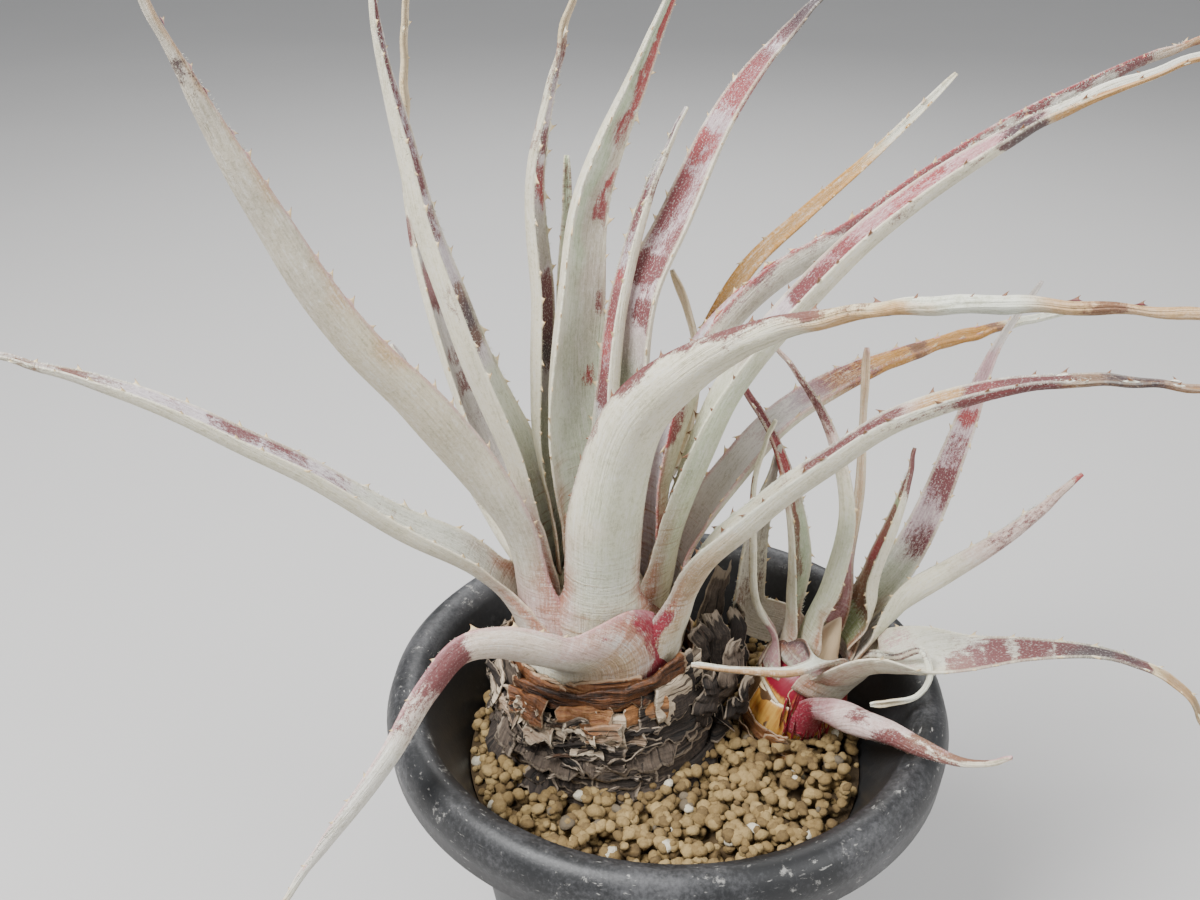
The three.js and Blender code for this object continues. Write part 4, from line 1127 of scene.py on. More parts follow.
    def _margins(self, body: Body) -> None:
        """Adds the hooked teeth along both margins.

        Args:
            body: The mesh that takes them.
        """
        leaf, shape = self.leaf, self.shape
        length = shape.curve.length
        for edge in (-1.0, 1.0):
            at = leaf.teeth[0] + self.random.uniform(0, 0.4) * leaf.spacing / length
            while at < leaf.teeth[1]:
                size = self.kind.tooth * self.random.uniform(0.5, 0.95)
                size *= float(smooth(1.04, 0.6, at)) * 0.5 + 0.5
                self._tooth(body, at, edge, size)
                gap = leaf.spacing * self.random.uniform(0.55, 1.35)
                at += gap * (0.6 + 0.5 * float(smooth(0.1, 0.4, at))) / length

    def _scurf(self, body: Body) -> None:
        """Adds the pale hair-like scales along both margins, each a four-faced sliver.

        Args:
            body: The mesh that takes them.
        """
        shape, last = self.shape, self.STATIONS - 1
        count = int(shape.curve.length * self.SCALES_PER_MM)
        draw = np.random.default_rng(self.seed)
        station = draw.uniform(0.05, min(self.leaf.dry[0] + 0.04, 0.9), count) * last
        edge = np.where(draw.random(count) < 0.5, -1.0, 1.0)
        column = edge * draw.uniform(0.9, 1.02, count)
        side = np.where(draw.random(count) < 0.5, -0.3, 0.3)
        near = np.rint(station).astype(int)
        root = shape.point(station, column, side)
        outward = unit(shape.point(station, edge, side * 0) - shape.point(station, edge * 0.8, side * 0))
        tangent, upward = shape.tangent[near], shape.upward[near]
        lean = draw.uniform(-1, 1, (count, 3)) * np.array([0.5, 1.0, 0.8])
        tip = unit(outward * (0.75 + lean[:, :1]) + tangent * lean[:, 1:2] + upward * lean[:, 2:3])
        long = draw.uniform(0.25, 0.75, count)[:, None]
        wide = self.SCALE_HALF
        feet = (root + tangent * wide, root - tangent * wide + upward * wide, root - upward * wide)
        points = np.stack([*feet, root + tip * long], axis=1)
        faces = [[4 * i + k for k in face] for i in range(count) for face in self.SCALE_FACES]
        pale = mix(np.array(WHITE.value), np.array(self.leaf.outer.value), 0.25)
        flow = np.repeat(triple(station, column, self.seed), 4, axis=0)
        nil = np.zeros(3)
        body.add(points, faces, flow=flow, under=pale, stain=pale, zone=nil, more=nil, rim=pale)

    def _tooth(self, body: Body, at: float, edge: float, size: float) -> None:
        """Adds one hooked tooth on its swollen foot.

        Args:
            body: The body that takes it.
            at: Its share of the leaf's length.
            edge: Its margin, -1 or 1.
            size: Its length in millimetres.
        """
        leaf, shape, last = self.leaf, self.shape, self.STATIONS - 1
        place = at * last
        root = shape.point(np.array(place), np.array(edge), np.array(0.0))
        inside = shape.point(np.array(place), np.array(edge * 0.8), np.array(0.0))
        near = min(int(round(place)), last)
        tangent, upward = shape.tangent[near], shape.upward[near]
        outward = unit(root - inside)
        outward = unit(outward + upward * self.random.uniform(-0.25, 0.25))
        across = np.cross(tangent, outward)
        hook = self.random.uniform(0.45, 1.0) * (-1 if self.random.random() < 0.3 else 1)
        points, weight = [], []
        for i in range(self.TOOTH_RINGS):
            t = i / (self.TOOTH_RINGS - 1)
            middle = root + outward * size * (t - 0.16) + tangent * size * hook * t**1.9 * 0.8
            long = size * (0.34 * (1 - t) ** 0.9 + 0.9 * (1 - t) ** 4) + 0.04
            thick = 0.26 * (1 - t) ** 0.8 + 0.035
            for j in range(self.TOOTH_SIDES):
                turn = 2 * math.pi * j / self.TOOTH_SIDES
                points.append(middle + tangent * math.cos(turn) * long + across * math.sin(turn) * thick)
                weight.append(0.2 + 0.8 * t)
        flow = np.array([at * shape.curve.length, edge * shape.half_width[near], self.seed])
        rim = np.array(leaf.rim.value)
        body.add(
            np.array(points), loft_faces(self.TOOTH_RINGS, self.TOOTH_SIDES, last=True),
            flow=flow, under=rim, stain=rim, zone=np.array([0.0, 0.0, 1.0]),
            more=triple(np.array(weight), 0.0, 0.0), rim=np.array(leaf.tooth.value),
        )


@dataclass(frozen=True)
class LeafFinish:
    """Waxy, ribbed leaf skin with mottled stains, powder specks and fibrous dry ends."""

    powder: Color = (0.8, 0.78, 0.72)
    tooth_tip: Color = (0.24, 0.11, 0.05)
    ring: Color = (0.42, 0.25, 0.16)
    shade: Point = (0.64, 0.63, 0.54)

    def material(self, name: str) -> bpy.types.Material:
        """Builds the finish.

        Args:
            name: Its name.

        Returns:
            The finished material.
        """
        paint = Paint(name)
        amount, speck, margin = paint.split("zone")
        tooth, dry, sheath = paint.split("more")
        flow = paint.part("flow")
        fibre = paint.weave(flow, (0.05, 2.2, 1))
        arcs = paint.weave(flow, (1.5, 0.06, 1))
        cloud = paint.weave(flow, (0.14, 0.3, 1), 4.0)
        grain = paint.weave(flow, (0.6, 1.2, 1), 5.0, 0.74)
        fine = paint.weave(flow, (3.0, 4.0, 1), 3.0, 0.65)
        blot = paint.weave(flow, (0.35, 0.7, 1), 4.0, 0.62)
        under = paint.part("under")
        lines = (fibre - 0.5) * (1.0 + dry * 0.9) + (arcs - 0.5) * (sheath * 1.1 + 0.15)
        lines = lines + (cloud - 0.5) * 0.9 + (grain - 0.5) * 2.0 + (fine - 0.5) * 0.8
        base = paint.blend(lines.step(-0.05, 0.5) * 0.85, under, paint.stretch(under, self.shade))
        base = paint.blend((0 - lines).step(-0.02, 0.45) * (0.6 - dry * 0.4), base, self.powder)
        ring = (arcs + (cloud - 0.5) * 0.3).step(0.58, 0.68) * sheath.step(0.2, 0.9)
        base = paint.blend(ring * 0.6, base, self.ring)
        rough = (blot - 0.5) * 0.9 + (grain - 0.5) * 1.1 + (fine - 0.5) * 0.8 + (fibre - 0.5) * 0.3
        stained = (amount + rough).step(0.32, 0.72) * amount.step(0.02, 0.2)
        mottle = (rough + 0.5).step(0.3, 0.7)
        base = paint.blend(stained * 0.95, base, paint.part("stain"))
        dots = paint.weave(flow, (1.7, 2.0, 1), 3.0, 0.6)
        dusty = (dots + (grain - 0.5) * 0.35).step(0.53, 0.66) * (speck * 0.7 + 0.12) * (1 - dry * 0.7)
        base = paint.blend((dusty * 0.75).clamp(), base, self.powder)
        edge = margin.step(0.86, 0.99) * (1 - tooth.step(0.1, 0.2)) * (0.4 + mottle * 0.5)
        base = paint.blend(edge * (0.7 - dry * 0.6), base, paint.part("rim"))
        spine = paint.blend(tooth.step(0.7, 1.0), paint.part("rim"), self.tooth_tip)
        base = paint.blend(tooth.step(0.25, 0.6), base, spine)
        groove = paint.weave(flow, (0.035, 2.8, 1), 2.0)
        paint.bump(groove * (0.7 + dry) + grain * 0.7 + fine * 0.35 + arcs * sheath * 0.8, 0.0006, 0.85)
        sheen = (0.66 - stained * 0.14 + dusty * 0.2 + dry * 0.15).clamp()
        return paint.finish(Base_Color=base, Roughness=sheen)


@dataclass(frozen=True)
class FibreFinish:
    """Dead leaf fibre: streaked and cracked, with pale torn edges and warm stains. On the dark dead bases
    the pale edge colour is partly a painted highlight.

    The stored look is a shade, how near a torn edge is, and a warmth, which above 2 turns the fibre
    into the fresh skin of the living stem.
    """

    light: Color
    middle: Color
    dark: Color
    edge: Color = (0.56, 0.44, 0.29)
    warm: Color = (0.40, 0.16, 0.045)
    fresh: Color = (0.56, 0.52, 0.36)
    rough: float = 0.85

    def material(self, name: str) -> bpy.types.Material:
        """Builds the finish.

        Args:
            name: Its name.

        Returns:
            The finished material.
        """
        paint = Paint(name)
        flow = paint.part("flow")
        shade, rim, warm = paint.split("look")
        streak = paint.weave(flow, (0.07, 1.5, 1), 4.0, 0.6)
        cross = paint.weave(flow, (1.1, 0.12, 1))
        grain = paint.weave(flow, (0.5, 1.3, 1), 5.0, 0.72)
        cloud = paint.weave(flow, (0.11, 0.2, 1))
        tone = (streak * 0.8 + cross * 0.35 + grain * 0.6 + shade - 0.92).clamp()
        base = paint.ramp(tone, ((0.1, self.dark), (0.45, self.middle), (0.9, self.light)))
        stained = (warm + (cloud - 0.5) * 1.3 + (grain - 0.5) * 0.4).step(0.45, 0.85)
        base = paint.blend(stained * 0.85, base, self.warm)
        crack = paint.weave(flow, (0.06, 0.9, 1), 2.0, 0.4)
        split = (crack + (grain - 0.5) * 0.12).step(0.6, 0.66)
        base = paint.blend(split * 0.85, base, self.dark)
        # Pale colour along torn edges: the fibre's own paler edge, and on the dark dead bases also a painted
        # highlight.
        base = paint.blend((rim + (grain - 0.5) * 0.8).step(0.55, 0.85) * 0.9, base, self.edge)
        base = paint.blend((warm - 2).clamp() * (streak * 0.4 + 0.7), base, self.fresh)
        paint.bump(streak * 0.7 + cross * 0.3 + grain * 0.5 - split * 1.2, 0.0011, 0.9)
        return paint.finish(Base_Color=base, Roughness=self.rough)


@dataclass(frozen=True)
class Plate:
    """A torn plate of dead leaf wrapped part of the way round a stem.

    Azimuths are in degrees; low and high are the heights of its lower and upper edges at both ends,
    and radius its distance from the axis there, or from the stem's skin where it hugs the stem. Its
    upper edge is the torn one, or its lower edge where it droops; flare tilts the torn edge outward.
    """

    start: float
    end: float
    low: tuple[float, float]
    high: tuple[float, float]
    radius: tuple[float, float]
    flare: float = 0.15
    torn: float = 0.35
    buckle: float = 0.7
    thick: float = 0.8
    lift: float = 1.2
    look: tuple[float, float] = (0.5, 0.1)
    hug: bool = False
    upright: bool = False
    droop: bool = False

    ACROSS = 44
    UPWARD = 8
    GIRTH_RADIUS = 27.0
    HUG_RADIUS = 13.0
    SWAY = 0.9
    END_TEAR = 2.6

    def add(self, body: Body, stem: Stem, seed: float) -> None:
        """Adds the plate to a body.

        Args:
            body: The body that takes it.
            stem: The stem that it wraps.
            seed: Picks its tears and buckles.
        """
        u = np.linspace(0, 1, self.ACROSS)[:, None] * np.ones((1, self.UPWARD))
        v = np.ones((self.ACROSS, 1)) * np.linspace(0, 1, self.UPWARD)[None, :]
        girth = self.HUG_RADIUS if self.hug else self.GIRTH_RADIUS
        arc = u * (math.radians(abs(self.end - self.start)) * girth)
        low = mix(*self.low, u) + self.SWAY * wobble(arc * 0.12, seed + 3, 2)
        jag = 1 - self.torn * np.clip(0.35 + 0.9 * wobble(arc * 0.22, seed, 4), 0, 1)
        rough_end = wobble(v * 2.2, seed + 7, 3) * self.END_TEAR
        turn = mix(self.start, self.end, u) + rough_end * (smooth(0.85, 1, u) - smooth(0.15, 0, u))
        high = mix(*self.high, u) + self.SWAY * wobble(arc * 0.1, seed + 5, 2)
        root, free = (high, low) if self.droop else (low, high)
        height = root + (free - root) * v * jag
        reach = mix(*self.radius, u)
        if self.hug:
            reach = reach + stem.radius(height)
        reach = reach + self.flare * np.abs(height - root) * v**0.5
        reach = reach + self.buckle * self._buckle(arc, height, seed)
        reach = reach + self.lift * (smooth(0.8, 1, u) + 0.6 * smooth(0.2, 0, u))
        outer, outward = stem.wrap(turn, height, reach)
        inner = outer - outward * (self.thick * (1 - 0.4 * v))[..., None]
        torn_edge = np.maximum(v**8, np.maximum(smooth(0.04, 0, u), smooth(0.96, 1, u)))
        shade, warm = self.look
        body.add(
            np.concatenate([outer, inner[:, ::-1]], axis=1),
            loft_faces(self.ACROSS, self.UPWARD * 2, first=True, last=True),
            flow=both_sides(triple(*((height, arc) if self.upright else (arc, height)), seed * 3.1)),
            look=both_sides(triple(shade, torn_edge, warm)),
        )

    @staticmethod
    def _buckle(arc: Array, height: Array, seed: float) -> Array:
        """Coarse and fine dents over the plate.

        Args:
            arc: Places round the stem in millimetres.
            height: Heights in millimetres.
            seed: Picks the dents.

        Returns:
            The depth of the dents at each place.
        """
        spots = list(zip(np.ravel(arc), np.ravel(height)))
        coarse = [noise.noise(Vector((a * 0.14, h * 0.25, seed))) for a, h in spots]
        fine = [noise.noise(Vector((a * 0.35, h * 1.1, seed + 9))) for a, h in spots]
        return (np.array(coarse) * 1.6 + np.array(fine) * 0.7).reshape(arc.shape)


def both_sides(values: Array) -> Array:
    """The values of a sheet's outer side followed by the same ones, backwards, for its inner side."""
    return np.concatenate([values, values[:, ::-1]], axis=1)


def add_plates(body: Body, stem: Stem, plates: Sequence[Plate], first: float, step: float) -> None:
    """Adds plates to a body, each with its own tears.

    Args:
        body: The body that takes them.
        stem: The stem that they wrap.
        plates: The plates.
        first: Seed of the first plate.
        step: How far apart the seeds are.
    """
    for k, plate in enumerate(plates):
        plate.add(body, stem, first + step * k)


class Ribbon:
    """A thin crumpled sheet along a line, with ragged ends."""

    COLUMNS = 11

    def __init__(self, seed: int, half: float, thick: float = 0.5) -> None:
        """Keeps the sheet's sizes.

        Args:
            seed: Picks its waves.
            half: Half its width.
            thick: Its thickness.
        """
        self.seed = seed
        self.half = half
        self.thick = thick

    def add(
        self, body: Body, line: Array, normal: Array, bend: float, ragged: float, look: tuple[float, float]
    ) -> None:
        """Adds the sheet.

        Args:
            body: The body that takes it.
            line: Points of its middle line.
            normal: The outward direction at each point.
            bend: How much the section curls, in radians at its edges.
            ragged: How far the end is torn back, in millimetres.
            look: Stored shade and warmth.
        """
        count = len(line)
        share = np.linspace(0, 1, count)
        tangent = unit(np.gradient(line, axis=0))
        normal = unit(normal - tangent * (normal * tangent).sum(axis=1, keepdims=True))
        side = np.cross(tangent, normal)
        across = np.linspace(-1, 1, self.COLUMNS)
        width = self.half * (1 + 0.35 * wobble(share * 3, self.seed)) * mix(1, 0.55, share**3)
        torn = wobble(across * 2.5, self.seed + 5) * ragged
        rows = []
        for i in range(count):
            curl = max(0.1, bend * (1 + 0.7 * float(wobble(share[i] * 2.5, self.seed + 2))))
            radius, angle = width[i] / curl, across * curl
            dent = 0.9 * wobble(across * 1.6 + share[i] * 3, self.seed + 9, 4)
            point = line[i] + side[i] * (radius * np.sin(angle))[:, None]
            point = point - normal[i] * (radius * (1 - np.cos(angle)) - dent)[:, None]
            rows.append(point + tangent[i] * (torn * smooth(0.6, 1.0, share[i]))[:, None])
        outer = np.array(rows)
        inner = outer - normal[:, None, :] * (self.thick * (1 - 0.6 * np.abs(across) ** 4))[None, :, None]
        length = float(np.linalg.norm(np.diff(line, axis=0), axis=1).sum())
        place = (across * self.half)[None, :]
        rim = np.maximum(np.abs(place / self.half) ** 6, smooth(0.85, 1, share)[:, None])
        body.add(
            np.concatenate([outer, inner[:, ::-1]], axis=1),
            loft_faces(count, self.COLUMNS * 2, first=True, last=True),
            flow=both_sides(triple((share * length)[:, None], place, self.seed)),
            look=both_sides(triple(look[0], rim, look[1])),
        )


@dataclass(frozen=True)
class DeadBases:
    """The layered plates of dead leaf bases round the foot of the main plant.

    A tier is the height and radius of a ring of plates that goes all the way round.
    """

    SIDES = 48
    SCRAP_STEPS = 44
    SHRED_STEPS = 16

    tiers: tuple[tuple[float, float], ...] = (
        (91.0, 28.5), (93.5, 28.0), (96.5, 27.6), (100.0, 27.0), (103.0, 26.6), (106.0, 26.2),
    )
    per_tier: int = 5
    tier_seed: int = 5
    shreds: int = 64
    front_shreds: int = 46
    shred_seed: int = 17
    front: tuple[Plate, ...] = (
        Plate(196, 268, (90.6, 91), (99, 99.5), (28.2, 28.6), 0.4, 0.4, look=(0.5, 0.0), droop=True),
        Plate(214, 300, (93, 91.5), (102.5, 101), (28.0, 29.0), 0.35, 0.3, look=(0.68, 0.05), droop=True),
        Plate(268, 352, (91.5, 93), (100, 102.5), (29.0, 31.5), 0.4, 0.35, look=(0.55, 0.15), droop=True),
        Plate(202, 290, (98, 97), (107, 106.5), (27.4, 27.8), 0.3, 0.3, look=(0.42, 0.0), droop=True),
        Plate(244, 338, (98.5, 102), (106.5, 111), (27.4, 29.4), 0.35, 0.25, look=(0.6, 0.1), droop=True),
        Plate(270, 356, (104, 108), (110, 117), (27.4, 30.0), 0.25, 0.35, look=(0.4, 0.15), droop=True),
        Plate(292, 360, (109, 113), (117, 122), (27.2, 30.0), 0.3, 0.5, look=(0.5, 0.2), droop=True),
        Plate(
            276, 322, (90.2, 90.6), (96.5, 97), (30.6, 31.6), 0.5, 0.1, look=(0.95, 0.0),
            upright=True, droop=True,
        ),
        Plate(306, 350, (91, 92.5), (97.5, 99.5), (31.5, 34.6), 0.6, 0.4, look=(0.4, 0.3), droop=True),
        Plate(292, 330, (117, 118), (129, 130), (27.0, 27.6), -0.1, 0.5, look=(0.5, 0.1)),
        Plate(336, 372, (112, 113), (124, 126), (28.6, 29.5), -0.1, 0.6, look=(0.4, 0.1)),
        Plate(203, 222, (116, 117), (130, 128), (26.5, 26.2), 0.1, 0.5, look=(0.8, 0.2), upright=True),
    )
    finish: FibreFinish = FibreFinish(
        light=(0.15, 0.112, 0.082), middle=(0.034, 0.024, 0.018), dark=(0.006, 0.005, 0.004),
        # The pale edge colour is partly the torn fibre's own and partly a painted highlight on the torn
        # edges.
        edge=(0.34, 0.27, 0.2), warm=(0.16, 0.06, 0.018),
    )

    def build(self) -> None:
        """Makes the dark core, painted near black as shade in the gaps between the plates, with its plates
        and scraps.
        """
        body = Body()
        self._core(body)
        self._tiers(body)
        add_plates(body, MAIN_STEM, self.front, 40.3, 7.7)
        self._scraps(body)
        self._litter(body)
        body.build("fine_main_stem", self.finish.material("dead_leaf_fibre"), "dead_leaf_base", "main_stem")

    def _core(self, body: Body) -> None:
        """Adds the stem under the plates, with living skin above them.

        Args:
            body: The mesh that takes it.
        """
        rings = len(MAIN_STEM.profile)
        turn = np.tile(np.arange(self.SIDES) * 360 / self.SIDES, (rings, 1))
        profile = np.array(MAIN_STEM.profile, float)
        along, radius = np.repeat(profile[:, :1], self.SIDES, 1), np.repeat(profile[:, 1:], self.SIDES, 1)
        inset = np.where((along > 90) & (along < 114), 2.4, 0.4) * (radius > 4)
        dent = 1 - 0.02 * (1 + np.cos(np.radians(turn) * 9 + along * 0.3))
        points, _ = MAIN_STEM.wrap(turn, along, (radius - inset) * dent)
        living = smooth(115, 124, along) * 3.2
        faces = loft_faces(rings, self.SIDES, first=True, last=True)
        # The core's low shade number paints it near black: painted shade in the gaps between the plates,
        # with living skin above them.
        body.add(points, faces, flow=triple(turn * 0.4, along, 3.0), look=triple(0.12, 0.0, living))

    def _tiers(self, body: Body) -> None:
        """Adds the plates that go all the way round.

        Args:
            body: The mesh that takes them.
        """
        draw = random.Random(self.tier_seed)
        for tier, (height, radius) in enumerate(self.tiers):
            for i in range(self.per_tier):
                start = 360 * i / self.per_tier + tier * 23 + draw.uniform(-12, 12)
                low = height + draw.uniform(-1.0, 1.5)
                rise = draw.uniform(-4.0, 5.0)
                tall = draw.uniform(6.0, 9.5)
                plate = Plate(
                    start, start + draw.uniform(60, 120), (low, low + rise), (low + tall, low + tall + rise),
                    (radius + draw.uniform(-0.6, 0.6), radius + draw.uniform(-0.3, 1.2)),
                    flare=draw.uniform(0.15, 0.55), torn=draw.uniform(0.2, 0.6),
                    buckle=draw.uniform(0.6, 1.2), lift=draw.uniform(0.2, 2.4),
                    look=(draw.uniform(0.35, 0.75), draw.uniform(0, 0.3)),
                    upright=draw.random() < 0.3, droop=draw.random() < 0.85,
                )
                plate.add(body, MAIN_STEM, 100 + 11.3 * tier + 3.7 * i)

    def _litter(self, body: Body) -> None:
        """Adds small curled shreds that stick out of the plates.

        Args:
            body: The mesh that takes them.
        """
        draw = random.Random(self.shred_seed)
        share = np.linspace(0, 1, self.SHRED_STEPS)
        for k in range(self.shreds):
            start = draw.uniform(196, 352) if k < self.front_shreds else draw.uniform(0, 190)
            height = draw.uniform(93, 116)
            turn = start + draw.choice((-1, 1)) * draw.uniform(14, 42) * share
            along = height + draw.uniform(-6, 6) * share + wobble(share * 4, 500 + k)
            reach = 27.6 + draw.uniform(0, 1.6) + draw.uniform(0.5, 4.0) * share**2
            reach = reach + wobble(share * 3, 600 + k) * 0.6
            line, outward = MAIN_STEM.wrap(turn, along, reach)
            look = (draw.uniform(0.25, 0.95), draw.uniform(0.0, 0.5))
            shred = Ribbon(900 + k, draw.uniform(0.7, 2.2), 0.4)
            shred.add(body, line, outward, draw.uniform(0.6, 1.6), 2.5, look)

    def _scraps(self, body: Body) -> None:
        """Adds the crumpled scraps that stand between the two plants.

        Args:
            body: The mesh that takes them.
        """
        paths = (
            ((5.5, 3, 99), (12, 2, 106), (15, 1, 116), (15, 2, 126), (12, 4, 134)),
            ((5.5, 8, 99), (13, 6, 106), (19, 5, 114), (20, 6, 124), (18, 8, 132)),
            ((5.5, 13, 99), (11, 14, 107), (13, 13, 119), (14.5, 12, 132), (15.5, 12, 143)),
            ((7, 1, 104), (14, -2, 110), (18, -2.5, 118), (19, -1, 127)),
            ((6, 4, 108), (11, 2, 118), (11, 0, 127), (8, -2, 134)),
            ((4, -6, 102), (9, -8, 108), (12, -8, 115), (12, -7, 122)),
            ((8, -2, 98), (16, -3, 103), (21, -3, 110), (23, -2, 117)),
            ((12, 16, 98), (19, 15, 108), (22, 13, 118), (21, 12, 130)),
        )
        looks = (
            (0.5, 0.1), (0.35, 0.3), (0.75, 0.0), (0.95, 0.05), (0.6, 0.35), (0.45, 0.2), (0.4, 0.1),
            (0.5, 0.2),
        )
        share = np.linspace(0, 1, self.SCRAP_STEPS)
        for k, (path, look) in enumerate(zip(paths, looks)):
            line = Curve([np.array(p, float) for p in path]).at(share)
            sway = triple(wobble(share * 5, 40 + k), wobble(share * 5, 60 + k), 0.0)
            outward = np.tile(unit(np.array([0.3, -0.9 + 0.12 * k, 0.3])), (self.SCRAP_STEPS, 1))
            Ribbon(300 + k, 4.6, 0.5).add(body, line + sway * 1.1, outward, 0.9, 3.5, look)


@dataclass(frozen=True)
class TornBases:
    """The ring of torn, tan leaf bases with their broken stubs."""

    flaps: int = 17
    flap_seed: int = 31
    flap_radius: float = 27.0
    plates: tuple[Plate, ...] = (
        Plate(
            261, 283, (109.5, 110), (118, 118.5), (28.0, 28.2), 0.15, 0.1, 0.4, 2.0, 0.5, (0.85, 0.4),
            droop=True,
        ),
        Plate(
            264, 280, (111.5, 112), (117, 117.5), (30.0, 30.2), 0.1, 0.3, 0.3, 1.0, 0.2, (0.5, 0.6),
            droop=True,
        ),
        Plate(284, 308, (113, 114), (120, 121.5), (26.8, 27.2), 0.2, 0.3, look=(0.35, 0.9), droop=True),
        Plate(
            302, 338, (111, 113), (124, 127), (27.6, 28.2), 0.1, 0.3, 0.8, 1.5, 1.0, (1.0, 0.25),
            droop=True,
        ),
        Plate(330, 372, (109, 110), (119, 120), (28.0, 28.5), 0.4, 0.5, look=(0.6, 0.2), droop=True),
        Plate(10, 60, (108.5, 109), (118, 117.5), (26.8, 27.0), 0.35, 0.4, look=(0.7, 0.1), droop=True),
        Plate(52, 104, (109, 108.5), (117.5, 118.5), (26.6, 27.0), 0.4, 0.5, look=(0.8, 0.1), droop=True),
        Plate(96, 150, (108.5, 109), (118, 117), (27.0, 26.8), 0.35, 0.4, look=(0.75, 0.2), droop=True),
        Plate(142, 206, (109, 108.5), (117.5, 118.5), (26.8, 27.2), 0.4, 0.45, look=(0.85, 0.1), droop=True),
    )
    finish: FibreFinish = FibreFinish(
        light=(0.62, 0.5, 0.36), middle=(0.3, 0.205, 0.135), dark=(0.045, 0.028, 0.018),
        edge=(0.68, 0.57, 0.42), warm=(0.38, 0.16, 0.05),
    )

    def build(self) -> None:
        """Makes the ring."""
        body = Body()
        add_plates(body, MAIN_STEM, (*self.plates, *self._flaps()), 200.3, 5.9)
        material = self.finish.material("torn_tan_base")
        body.build("fine_torn_bases", material, "torn_leaf_base", "torn_leaf_bases")

    def _flaps(self) -> list[Plate]:
        """The small broken flaps along the ring's front left.

        Returns:
            The flaps.
        """
        draw = random.Random(self.flap_seed)
        flaps = []
        for k in range(self.flaps):
            start = 199 + 4.6 * k + draw.uniform(-3, 3)
            low = draw.uniform(107, 110.5) + 3.5 * (k % 3 == 2)
            flaps.append(Plate(
                start, start + draw.uniform(8, 20), (low, low + draw.uniform(-1, 1)),
                (low + draw.uniform(5, 7.5), low + draw.uniform(5, 7.5)),
                (self.flap_radius + draw.uniform(0, 1), self.flap_radius + draw.uniform(0, 1)),
                draw.uniform(0.1, 0.6), draw.uniform(0.3, 0.7), draw.uniform(0.8, 1.4), 0.8, 1.0,
                (draw.uniform(0.45, 1.0), draw.uniform(0, 0.3)), droop=True,
            ))
        return flaps


@dataclass(frozen=True)
class BrownSheath:
    """The dried orange-brown sheaths: between the torn bases and the leaves, and round the offset."""

    FLAP_STEPS = 12

    main: tuple[Plate, ...] = (
        Plate(204, 250, (119, 118.5), (127, 125), (26.8, 27.0), -0.34, 0.12, 0.5, 1.0, 0.3, (0.45, 0.3)),
        Plate(
            214, 324, (115.5, 120.5), (122.5, 131), (27.3, 27.5), -0.05, 0.45, 0.9, 1.0, 0.2,
            (0.3, 0.25), droop=True,
        ),
        Plate(228, 296, (119, 120), (125.8, 128), (26.6, 26.8), -0.3, 0.2, 0.5, 0.9, 0.2, (0.55, 0.1)),
        Plate(
            216, 240, (112, 113), (120, 121), (27.6, 27.4), 0.3, 0.5, 1.0, 0.8, 0.8, (0.4, 0.1),
            droop=True,
        ),
        Plate(
            248, 276, (113.5, 114.5), (121, 122), (27.8, 27.6), 0.35, 0.6, 1.1, 0.8, 0.8, (0.6, 0.0),
            droop=True,
        ),
        Plate(318, 392, (115, 116), (127, 124), (25.8, 25.6), 0.05, 0.3, 0.5, 0.9, 0.5, (0.4, 0.2)),
        Plate(20, 100, (115.5, 116), (124, 125), (25.4, 25.7), 0.05, 0.3, 0.5, 0.9, 0.5, (0.5, 0.1)),
        Plate(88, 160, (115, 116), (125, 124), (25.5, 25.6), 0.05, 0.3, 0.5, 0.9, 0.5, (0.6, 0.1)),
        Plate(148, 212, (115.5, 116.5), (124, 126), (25.6, 25.8), 0.05, 0.3, 0.5, 0.9, 0.5, (0.5, 0.2)),
    )
    offset: tuple[Plate, ...] = (
        Plate(165, 262, (8, 9), (16, 16.5), (0.9, 1.2), 0.1, 0.3, 0.4, 0.6, 0.8, (0.55, 0.3), hug=True),
        Plate(238, 345, (8, 8), (15.5, 16.5), (1.4, 1.7), 0.15, 0.35, 0.5, 0.6, 1.0, (0.65, 0.5), hug=True),
        Plate(335, 430, (8, 9), (15, 15), (0.9, 1.0), 0.1, 0.35, 0.4, 0.6, 0.6, (0.4, 0.2), hug=True),
        Plate(60, 175, (8, 9), (15, 15), (0.9, 1.0), 0.1, 0.35, 0.4, 0.6, 0.6, (0.4, 0.2), hug=True),
        Plate(205, 300, (5, 5), (12, 11), (2.6, 3.4), 0.1, 0.4, 0.5, 0.6, 1.0, (0.3, 0.0), hug=True),
    )
    finish: FibreFinish = FibreFinish(
        light=(0.44, 0.23, 0.09), middle=(0.2, 0.072, 0.022), dark=(0.02, 0.009, 0.005),
        edge=(0.46, 0.32, 0.2), warm=(0.34, 0.11, 0.02), rough=0.45,
    )

    def build(self) -> None:
        """Makes both plants' brown sheaths."""
        material = self.finish.material("brown_dried_sheath")
        body = Body()
        add_plates(body, MAIN_STEM, self.main, 300.7, 4.3)
        body.build("fine_brown_sheath", material, "brown_sheath", "brown_sheath")
        body = Body()
        add_plates(body, PUP_STEM, self.offset, 340.7, 4.3)
        foot, outward = PUP_STEM.beside(268, 11.5, 2.2)
        share = np.linspace(0, 1, self.FLAP_STEPS)[:, None]
        line = foot - PUP_STEM.axis() * share * 7 + outward * share * 2.6
        normal = np.tile(outward, (self.FLAP_STEPS, 1))
        Ribbon(720, 4.0, 0.5).add(body, line, normal, 0.3, 1.0, (1.0, 0.0))
        body.build("fine_pup_brown_sheath", material, "brown_sheath", "pup_brown_sheath")


